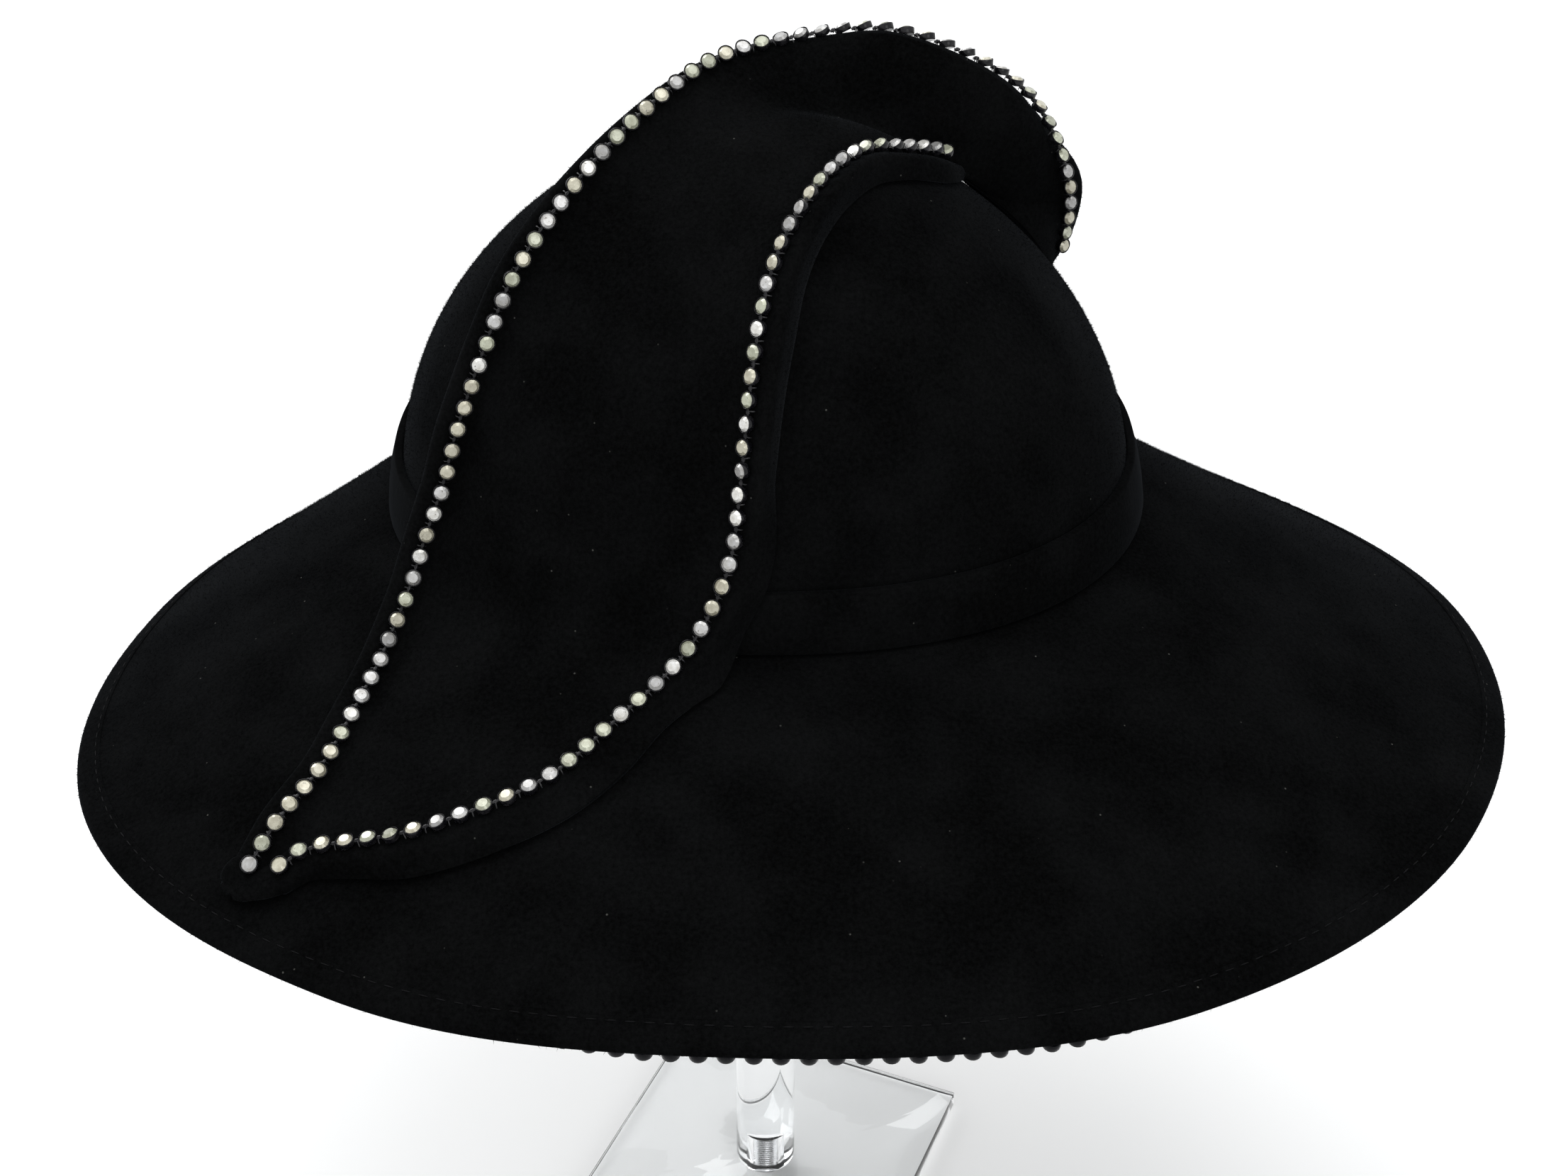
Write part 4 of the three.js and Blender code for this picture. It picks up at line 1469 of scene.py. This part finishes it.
@dataclass
class Nap:
    """Short loose fibres on a felt piece."""

    density: float = 1.3
    length: float = 0.9
    width: float = 0.055
    lean: float = 1.0
    shortest: float = 0.5
    longest: float = 1.35
    seed: int = SEED

    def build(
        self,
        name: str,
        piece: bpy.types.Object,
        felt: bpy.types.Material,
        bald: Callable[[bmesh.types.BMFace], bool],
    ) -> None:
        """Grow the nap of one piece.

        Args:
            name: Name of the nap.
            piece: Felt piece that it grows on.
            felt: Its finish.
            bald: Tells the faces without nap, such as those of an inner wall.
        """
        graph = bpy.context.evaluated_depsgraph_get()
        ground = bmesh.new()
        ground.from_mesh(bpy.data.meshes.new_from_object(piece.evaluated_get(graph)))
        bare = [face for face in ground.faces if bald(face)]
        bmesh.ops.delete(ground, geom=bare, context="FACES")
        base = bpy.data.objects.new("ground", keep_as("ground", ground))
        fibre = bpy.data.objects.new("fibre", self.fibre())
        for helper in (base, fibre):
            bpy.context.scene.collection.objects.link(helper)
        base.modifiers.new("grow", "NODES").node_group = self.growth(fibre)
        graph = bpy.context.evaluated_depsgraph_get()
        grown = bmesh.new()
        grown.from_mesh(bpy.data.meshes.new_from_object(base.evaluated_get(graph)))
        for helper in (base, fibre):
            bpy.data.objects.remove(helper)
        bmesh.ops.scale(grown, verts=grown.verts, vec=(1 / MM, 1 / MM, 1 / MM))
        build_piece(name, grown, felt, Slot.FELT, 0)

    def fibre(self) -> bpy.types.Mesh:
        """One fibre: a thin flat blade that stands on its own origin."""
        mesh = bmesh.new()
        bmesh.ops.create_circle(mesh, cap_ends=True, segments=3, radius=1)
        bmesh.ops.rotate(mesh, verts=mesh.verts, matrix=Matrix.Rotation(math.pi / 2, 3, "X"))
        low = min(vert.co.z for vert in mesh.verts)
        bmesh.ops.translate(mesh, verts=mesh.verts, vec=(0, 0, -low - 0.1))
        size = (self.width * MM, self.width * MM, self.length * MM / 1.5)
        bmesh.ops.scale(mesh, verts=mesh.verts, vec=size)
        return keep_as("fibre", mesh)

    def growth(self, fibre: bpy.types.Object) -> bpy.types.NodeTree:
        """Geometry nodes that scatter the fibre over a mesh.

        Args:
            fibre: The fibre.

        Returns:
            The node group.
        """
        group = bpy.data.node_groups.new("nap", "GeometryNodeTree")
        group.interface.new_socket("Mesh", in_out="INPUT", socket_type="NodeSocketGeometry")
        group.interface.new_socket("Mesh", in_out="OUTPUT", socket_type="NodeSocketGeometry")
        sheet = Sheet(group)
        scatter = sheet.node("GeometryNodeDistributePointsOnFaces", Seed=self.seed)
        scatter.inputs["Density"].default_value = self.density / MM**2
        source = sheet.node("GeometryNodeObjectInfo", Object=fibre)
        tilt = sheet.node("FunctionNodeRandomValue", data_type="FLOAT_VECTOR", Seed=self.seed)
        tilt.inputs["Min"].default_value = (-self.lean, -self.lean, 0)
        tilt.inputs["Max"].default_value = (self.lean, self.lean, FULL_TURN)
        size = sheet.node("FunctionNodeRandomValue", data_type="FLOAT", Seed=self.seed + 1)
        size.inputs["Min"].default_value = self.shortest
        size.inputs["Max"].default_value = self.longest
        turned = sheet.node("FunctionNodeRotateRotation", rotation_space="LOCAL")
        spread = sheet.node("GeometryNodeInstanceOnPoints")
        real = sheet.node("GeometryNodeRealizeInstances")
        ground, grown = sheet.node("NodeGroupInput"), sheet.node("NodeGroupOutput")
        for source_socket, target in (
            (ground.outputs["Mesh"], scatter.inputs["Mesh"]),
            (scatter.outputs["Points"], spread.inputs["Points"]),
            (scatter.outputs["Rotation"], turned.inputs["Rotation"]),
            (tilt.outputs["Value"], turned.inputs["Rotate By"]),
            (turned.outputs["Rotation"], spread.inputs["Rotation"]),
            (size.outputs["Value"], spread.inputs["Scale"]),
            (source.outputs["Geometry"], spread.inputs["Instance"]),
            (spread.outputs["Instances"], real.inputs["Geometry"]),
            (real.outputs["Geometry"], grown.inputs["Mesh"]),
        ):
            sheet.link(source_socket, target)
        return group


# Stones, cups, links and threads


class Tint(Enum):
    """Tints of the old stones, as linear colour."""

    CREAM = (0.5, 0.48, 0.38)
    GREENISH = (0.43, 0.45, 0.35)
    SILVER = (0.5, 0.5, 0.5)
    GREY = (0.33, 0.33, 0.33)
    BRIGHT = (0.72, 0.72, 0.7)


@dataclass(frozen=True)
class Swing:
    """How far stones lean towards the start of their row at a section, in degrees."""

    section: float
    lean: float


@dataclass
class StoneParts:
    """Templates of one link of the chain: cup, stone, bar and thread."""

    cup_radius: float = 2.22
    cup_height: float = 1.7
    stone_radius: float = 1.98
    table_radius: float = 1.3
    table_lift: float = 0.5
    steps: int = 20

    def cup(self, height: float) -> bpy.types.Mesh:
        """Round cup with a rolled rim, its rim in the plane of its own origin."""
        rim = self.cup_radius
        profile = (
            (0, -height),
            (rim - 0.25, -height),
            (rim - 0.1, -height + 0.16),
            (rim, -0.14),
            (rim - 0.04, 0.0),
            (rim - 0.12, 0.04),
            (rim - 0.2, -0.02),
            (rim - 0.24, -0.5),
            (0, -0.5),
        )
        return keep_as("cup", spun(profile, self.steps))

    def stone(self) -> bpy.types.Mesh:
        """Cut stone with a table, eight wide facets and eight narrow ones."""
        mesh = bmesh.new()
        bmesh.ops.create_cone(
            mesh,
            cap_ends=True,
            segments=8,
            radius1=self.stone_radius,
            radius2=self.table_radius,
            depth=self.table_lift + 0.1,
        )
        bmesh.ops.translate(mesh, verts=mesh.verts, vec=(0, 0, self.table_lift / 2 - 0.05))
        slants = [e for e in mesh.edges if abs(e.verts[0].co.z - e.verts[1].co.z) > 0.1]
        bmesh.ops.bevel(
            mesh,
            geom=slants,
            offset=0.3,
            segments=1,
            affect="EDGES",
            profile=0.5,
            material=-1,
        )
        bmesh.ops.recalc_face_normals(mesh, faces=mesh.faces)
        return keep_as("stone", mesh)

    def bar(self, pitch: float) -> bpy.types.Mesh:
        """Small round bar between two cups, with a collar in its middle."""
        mesh = bmesh.new()
        length = pitch - 2 * self.cup_radius + 0.3
        for radius, depth in ((0.36, length), (0.55, length * 0.45)):
            bmesh.ops.create_cone(
                mesh,
                cap_ends=True,
                segments=10,
                radius1=radius,
                radius2=radius,
                depth=depth,
                matrix=Matrix.Rotation(math.pi / 2, 4, "Y"),
            )
        bmesh.ops.translate(mesh, verts=mesh.verts, vec=(0, 0, -self.cup_height * 0.55))
        return keep_as("bar", mesh)

    def thread(self) -> bpy.types.Mesh:
        """Thread that holds a bar down, from the felt over the bar and back."""
        mesh = bmesh.new()
        bmesh.ops.create_circle(mesh, segments=6, radius=0.16)
        bmesh.ops.rotate(mesh, verts=mesh.verts, matrix=Matrix.Rotation(math.pi / 2, 3, "X"))
        bmesh.ops.translate(mesh, verts=mesh.verts, vec=(0, 1.25, -self.cup_height - 0.2))
        ring = list(mesh.verts) + list(mesh.edges)
        bmesh.ops.spin(
            mesh,
            geom=ring,
            cent=(0, 0, -self.cup_height - 0.2),
            axis=(1, 0, 0),
            dvec=(0, 0, 0),
            angle=math.pi,
            steps=8,
            use_merge=False,
        )
        bmesh.ops.recalc_face_normals(mesh, faces=mesh.faces)
        return keep_as("thread", mesh)


@dataclass
class Chain:
    """A row of stones in cups, joined by bars and sewn down with thread."""

    name: str
    parts: StoneParts
    pitch: float = 5.75
    wobble: float = 3.5
    seed: int = SEED

    def build(
        self,
        frames: Sequence[StoneFrame],
        finishes: dict[str, bpy.types.Material],
        node: str,
        height: float,
    ) -> None:
        """Make the chain's pieces.

        Args:
            frames: Frames of the stones.
            finishes: Materials by the names cup, stone and thread.
            node: CAD node that the cups stand for.
            height: Height of a cup.
        """
        rng = random.Random(self.seed)
        cups, stones = Cluster(self.parts.cup(height)), Cluster(self.parts.stone())
        bars, threads = Cluster(self.parts.bar(self.pitch)), Cluster(self.parts.thread())
        for frame_ in frames:
            tilt = math.tan(math.radians(rng.gauss(0, self.wobble)))
            tip = math.tan(math.radians(rng.gauss(0, self.wobble)))
            facing = (frame_.facing + frame_.along * tilt + frame_.out * tip).normalized()
            place = frame_matrix(frame_.point, frame_.along, facing)
            cups.add(place)
            tint = rng.choices(list(Tint), weights=(34, 26, 20, 12, 8))[0].value
            light = rng.uniform(0.85, 1.12)
            spin = Matrix.Rotation(rng.uniform(0, FULL_TURN), 4, "Z")
            nod = Matrix.Rotation(math.radians(rng.gauss(0, 2.5)), 4, "X")
            stones.add(place @ nod @ spin, [min(1.0, part * light) for part in tint])
        for first, second in zip(frames, frames[1:]):
            middle = first.point.lerp(second.point, 0.5)
            facing = (first.facing + second.facing).normalized()
            place = frame_matrix(middle, second.point - first.point, facing)
            bars.add(place)
            slip = Matrix.Translation((rng.uniform(-0.25, 0.25), rng.uniform(-0.2, 0.2), 0))
            threads.add(place @ slip @ Matrix.Rotation(rng.uniform(-0.35, 0.35), 4, "Z"))
        build_piece(f"{self.name}_cups", cups.mesh, finishes["cup"], Slot.CUPS, replaces=(node,))
        build_piece(f"{self.name}_stones", stones.mesh, finishes["stone"], Slot.STONES, sharp=12)
        build_piece(f"{self.name}_bars", bars.mesh, finishes["cup"], Slot.CUPS)
        build_piece(f"{self.name}_threads", threads.mesh, finishes["thread"], Slot.FELT)


@dataclass
class WaveRow:
    """Where the stones of one rim of the wave sit."""

    row: Row
    start: float
    end: float
    swings: tuple[Swing, ...]
    pitch: float = 5.75
    samples: int = 420

    def lean(self, section: float) -> float:
        """Lean of the stones at a section, in degrees."""
        for first, second in zip(self.swings, self.swings[1:]):
            if first.section <= section <= second.section:
                part = (section - first.section) / (second.section - first.section)
                return first.lean + (second.lean - first.lean) * part
        return 0.0

    def frames(self) -> list[StoneFrame]:
        """Frames of the stones, one pitch apart."""
        places = [self.end * k / self.samples for k in range(self.samples + 1)]
        line = [WAVE.rim(self.row, place) for place in places]
        found, walked = [], -self.start
        for k, (first, second) in enumerate(zip(line, line[1:])):
            length = (second - first).length
            while walked <= 0 < walked + length or (walked <= 0 and walked + length == 0):
                place = places[k] + (places[k + 1] - places[k]) * (-walked / length)
                stone = WAVE.stone(self.row, place)
                lean = math.tan(math.radians(self.lean(place * (len(WAVE_SECTIONS) - 1))))
                facing = (stone.facing - stone.along * lean).normalized()
                found.append(StoneFrame(stone.point, stone.along, facing, stone.out))
                walked -= self.pitch
            walked += length
        return found


@dataclass
class BrimRow:
    """Where the cups under the brim's edge sit, facing down.

    Cups that do not show at the front are moved by the tuck. Where the brim is steep, at its
    back, the test in frames picks the outward way instead of the inward one, so the cups there
    hang below the edge.
    """

    inset: float = 2.2
    pitch: float = 6.15
    height: float = 2.2
    clearance: float = 0.8
    upright: float = 0.5
    tuck: float = 3.0
    shown_middle: float = 22
    shown_reach: float = 48
    shown_fade: float = 40

    def tucked(self, point: Vector) -> float:
        """How far a cup is moved along the brim; the ones that show at the front stay.

        Args:
            point: Where it sits on the brim.

        Returns:
            The distance.
        """
        if point.y > 0:
            return self.tuck
        past = (abs(point.x - self.shown_middle) - self.shown_reach) / self.shown_fade
        return self.tuck * min(1.0, max(0.0, past))

    def frames(self, felt: float) -> list[StoneFrame]:
        """Frames of the cups.

        Args:
            felt: Thickness of the brim.

        Returns:
            The frames.
        """
        drop = felt + self.clearance + self.height
        found = []
        for point, along, normal in edge_stations(self.inset, self.pitch):
            facing = -normal.lerp(Vector((0, 0, 1)), self.upright).normalized()
            way = along.cross(normal)
            if way.dot(point) > 0:
                way.negate()
            seat = point + way * self.tucked(point)
            found.append(StoneFrame(seat + facing * drop, along, facing, along.cross(facing)))
        return found


# The stand


@dataclass
class Stand:
    """Clear stand: square plate, round post, the stud that joins them and a disc on top."""

    plate_side: float = 106
    plate_turn: float = -22.9
    plate_thick: float = 6
    plate_hole: float = 5.9
    side_cuts: int = 5
    edge_round: float = 0.35
    head_radius: float = 5.6
    head_height: float = 5.7
    shank_radius: float = 3
    shank_top: float = 19
    tip_radius: float = 1.8
    thread_pitch: float = 1.0
    thread_depth: float = 0.45
    post_radius: float = 10.25
    post_foot: float = 6.3
    post_top: float = 356.6
    bore_radius: float = 3.3
    bore_top: float = 19.3
    disc_radius: float = 50
    disc_foot: float = 356.9
    disc_top: float = 361.9
    disc_round: float = 1

    def build(self, acrylic: bpy.types.Material, steel: bpy.types.Material) -> None:
        """Make the stand's four pieces.

        Args:
            acrylic: Finish of the clear pieces.
            steel: Finish of the stud.
        """
        clear = Slot.ACRYLIC
        build_piece("stand_plate", self.plate(), acrylic, clear, 0, 30, ("stand_base",))
        build_piece("stand_stud", self.stud(), steel, Slot.STEEL, 0, 25, ("stand_screw",))
        build_piece("stand_post", self.post(), acrylic, clear, 0, 30, ("stand_rod",))
        build_piece("stand_disc", self.disc(), acrylic, clear, 0, 30, ("stand_top",))

    def plate(self) -> Mesh:
        """Square plate with a hole for the stud's head."""
        mesh = bmesh.new()
        corners = bmesh.ops.create_circle(mesh, segments=4, radius=self.plate_side / math.sqrt(2))
        turn = Matrix.Rotation(math.radians(45 + self.plate_turn), 3, "Z")
        bmesh.ops.rotate(mesh, verts=corners["verts"], matrix=turn)
        bmesh.ops.subdivide_edges(mesh, edges=mesh.edges, cuts=self.side_cuts)
        bmesh.ops.create_circle(mesh, segments=4 * (self.side_cuts + 1), radius=self.plate_hole)
        bmesh.ops.bridge_loops(mesh, edges=mesh.edges)
        raised = bmesh.ops.extrude_face_region(mesh, geom=mesh.faces, use_keep_orig=True)
        top = [part for part in raised["geom"] if isinstance(part, bmesh.types.BMVert)]
        bmesh.ops.translate(mesh, verts=top, vec=(0, 0, self.plate_thick))
        bmesh.ops.recalc_face_normals(mesh, faces=mesh.faces)
        soften(mesh, 50, self.edge_round)
        return mesh

    def stud(self) -> Mesh:
        """Stud with a flat head and a grooved shank."""
        profile = [(0, 0), (self.head_radius, 0), (self.head_radius, self.head_height)]
        height = self.head_height
        while height + self.thread_pitch < self.shank_top:
            profile.append((self.shank_radius - self.thread_depth, height))
            profile.append((self.shank_radius, height + self.thread_pitch / 2))
            height += self.thread_pitch
        profile += [(self.shank_radius - self.thread_depth, height)]
        profile += [(self.tip_radius, self.shank_top)]
        return spun([*profile, (0, self.shank_top)], 40)

    def post(self) -> Mesh:
        """Round post with a blind bore in its foot."""
        profile = (
            (0, self.bore_top),
            (self.bore_radius, self.bore_top),
            (self.bore_radius, self.post_foot),
            (self.post_radius, self.post_foot),
            (self.post_radius, self.post_top),
            (0, self.post_top),
        )
        mesh = spun(profile, 96)
        soften(mesh, 50, self.edge_round)
        return mesh

    def disc(self) -> Mesh:
        """Round disc that carries the crown."""
        outer, low, high = self.disc_radius, self.disc_foot, self.disc_top
        mesh = spun(((0, low), (outer, low), (outer, high), (0, high)), 128)
        soften(mesh, 50, self.disc_round, 3)
        return mesh


# Studio


@dataclass(frozen=True)
class SoftLight:
    """A square area light that looks at a point over the floor."""

    name: str
    place: tuple[float, float, float]
    size: float
    watts: float
    tint: tuple[float, float, float] = (1, 1, 1)


@dataclass
class Studio:
    """Pale floor, soft light and the camera."""

    floor_side: float = 6
    floor_drop: float = 0.0006
    floor_tone: tuple[float, float, float] = (0.86, 0.86, 0.855)
    floor_shade: tuple[float, float, float] = (0.83, 0.83, 0.83)
    floor_roughness: tuple[float, float] = (0.5, 0.7)
    world_tone: tuple[float, float, float] = (0.98, 0.99, 1.0)
    world_strength: float = 1.05
    aim: tuple[float, float, float] = (0, 0, 0.3)
    lights: tuple[SoftLight, ...] = (
        SoftLight("back_left", (-1.3, 1.2, 1.9), 1.5, 26),
        SoftLight("above", (0.2, -0.1, 2.3), 1.6, 14),
        SoftLight("front_fill", (0.6, -1.9, 1.2), 1.2, 8),
    )
    camera_place: tuple[float, float, float] = (0.0066, -0.529, 0.588)
    camera_pitch: float = 57.1
    lens: float = 48.82
    sensor: float = 36

    def build(self) -> None:
        """Make the floor, the light and the camera."""
        self.floor()
        self.light()
        self.camera()
        bpy.context.scene.view_settings.view_transform = "Standard"

    def floor(self) -> None:
        """Make the floor with a faint uneven tone."""
        mesh = bmesh.new()
        bmesh.ops.create_grid(mesh, x_segments=8, y_segments=8, size=self.floor_side / 2)
        bmesh.ops.translate(mesh, verts=mesh.verts, vec=(0, 0, -self.floor_drop))
        data = keep_as("floor", mesh)
        material, sheet, shader = start_material("pale_floor", Specular_IOR_Level=0.3)
        coords = sheet.node("ShaderNodeTexCoord").outputs["Object"]
        tone = sheet.mix(sheet.texture(coords, 6), self.floor_tone, self.floor_shade)
        sheet.link(tone, shader.inputs["Base Color"])
        roughen(sheet, shader, sheet.texture(coords, 40), *self.floor_roughness)
        data.materials.append(material)
        floor = bpy.data.objects.new("floor", data)
        bpy.context.scene.collection.objects.link(floor)

    def light(self) -> None:
        """Make the world's even light and the soft lights."""
        world = bpy.data.worlds.new("studio")
        world.use_nodes = True
        background = world.node_tree.nodes["Background"]
        background.inputs["Color"].default_value = (*self.world_tone, 1)
        background.inputs["Strength"].default_value = self.world_strength
        bpy.context.scene.world = world
        for soft in self.lights:
            data = bpy.data.lights.new(soft.name, "AREA")
            data.size, data.energy, data.color = soft.size, soft.watts, soft.tint
            lamp = bpy.data.objects.new(soft.name, data)
            lamp.location = soft.place
            ray = Vector(self.aim) - Vector(soft.place)
            lamp.rotation_euler = ray.to_track_quat("-Z", "Y").to_euler()
            bpy.context.scene.collection.objects.link(lamp)

    def camera(self) -> None:
        """Make the camera at the photograph's angle."""
        data = bpy.data.cameras.new("camera")
        data.lens, data.sensor_width = self.lens, self.sensor
        data.clip_start, data.clip_end = 0.01, 50
        camera = bpy.data.objects.new("camera", data)
        camera.location = self.camera_place
        camera.rotation_euler = (math.radians(self.camera_pitch), 0, 0)
        bpy.context.scene.collection.objects.link(camera)
        bpy.context.scene.camera = camera


OUTER_SWINGS = (
    Swing(section=0, lean=0),
    Swing(section=13, lean=6),
    Swing(section=14, lean=20),
    Swing(section=16, lean=26),
    Swing(section=17.5, lean=28),
    Swing(section=19, lean=20),
    Swing(section=20, lean=5),
)
INNER_SWINGS = (
    Swing(section=0, lean=0),
    Swing(section=10, lean=4),
    Swing(section=12, lean=22),
    Swing(section=14, lean=40),
    Swing(section=17.5, lean=46),
)


def main() -> None:
    """Build every piece in order."""
    logging.basicConfig(level=logging.INFO, format="%(name)s %(message)s")
    effects = Effects()
    felt = FeltFinish().material(effects)
    thread = ThreadFinish().material(effects)
    acrylic = AcrylicFinish().material(effects)
    steel = SteelFinish().material(effects)
    finishes = {
        "cup": CupFinish().material(effects),
        "stone": StoneFinish().material(effects),
        "thread": thread,
    }
    Crown().build(felt)
    Band().build(felt)
    stitch = ThreadFinish("dull_thread", (0.001, 0.001, 0.001), (0.004, 0.004, 0.005), 0.8, 0.1)
    brim = Brim()
    brim.build(felt, stitch.material(effects))
    Wave().build(felt)
    parts = StoneParts()
    outer = WaveRow(row=Row.OUTER, start=0, end=0.946, swings=OUTER_SWINGS).frames()
    inner = WaveRow(row=Row.INNER, start=2.6, end=0.855, swings=INNER_SWINGS).frames()
    Chain("outer", parts, seed=SEED).build(outer, finishes, "trim_outer", parts.cup_height)
    Chain("inner", parts, seed=SEED + 1).build(inner, finishes, "trim_inner", parts.cup_height)
    row = BrimRow()
    under = Chain("brim", parts, pitch=row.pitch, wobble=2, seed=SEED + 2)
    # Painted shade: the cups under the brim are the same cups as on the wave, given a darker, less
    # glossy copy of their finish to stand in for the brim's shade.
    dull = CupFinish("dull_cup", rubbed=(0.006, 0.006, 0.007), specular=0.08, coat=0.02)
    shaded = {**finishes, "cup": dull.material(effects)}
    under.build(row.frames(brim.felt), shaded, "trim_brim", row.height)
    Stand().build(acrylic, steel)
    Studio().build()


if __name__ == "__main__":
    main()
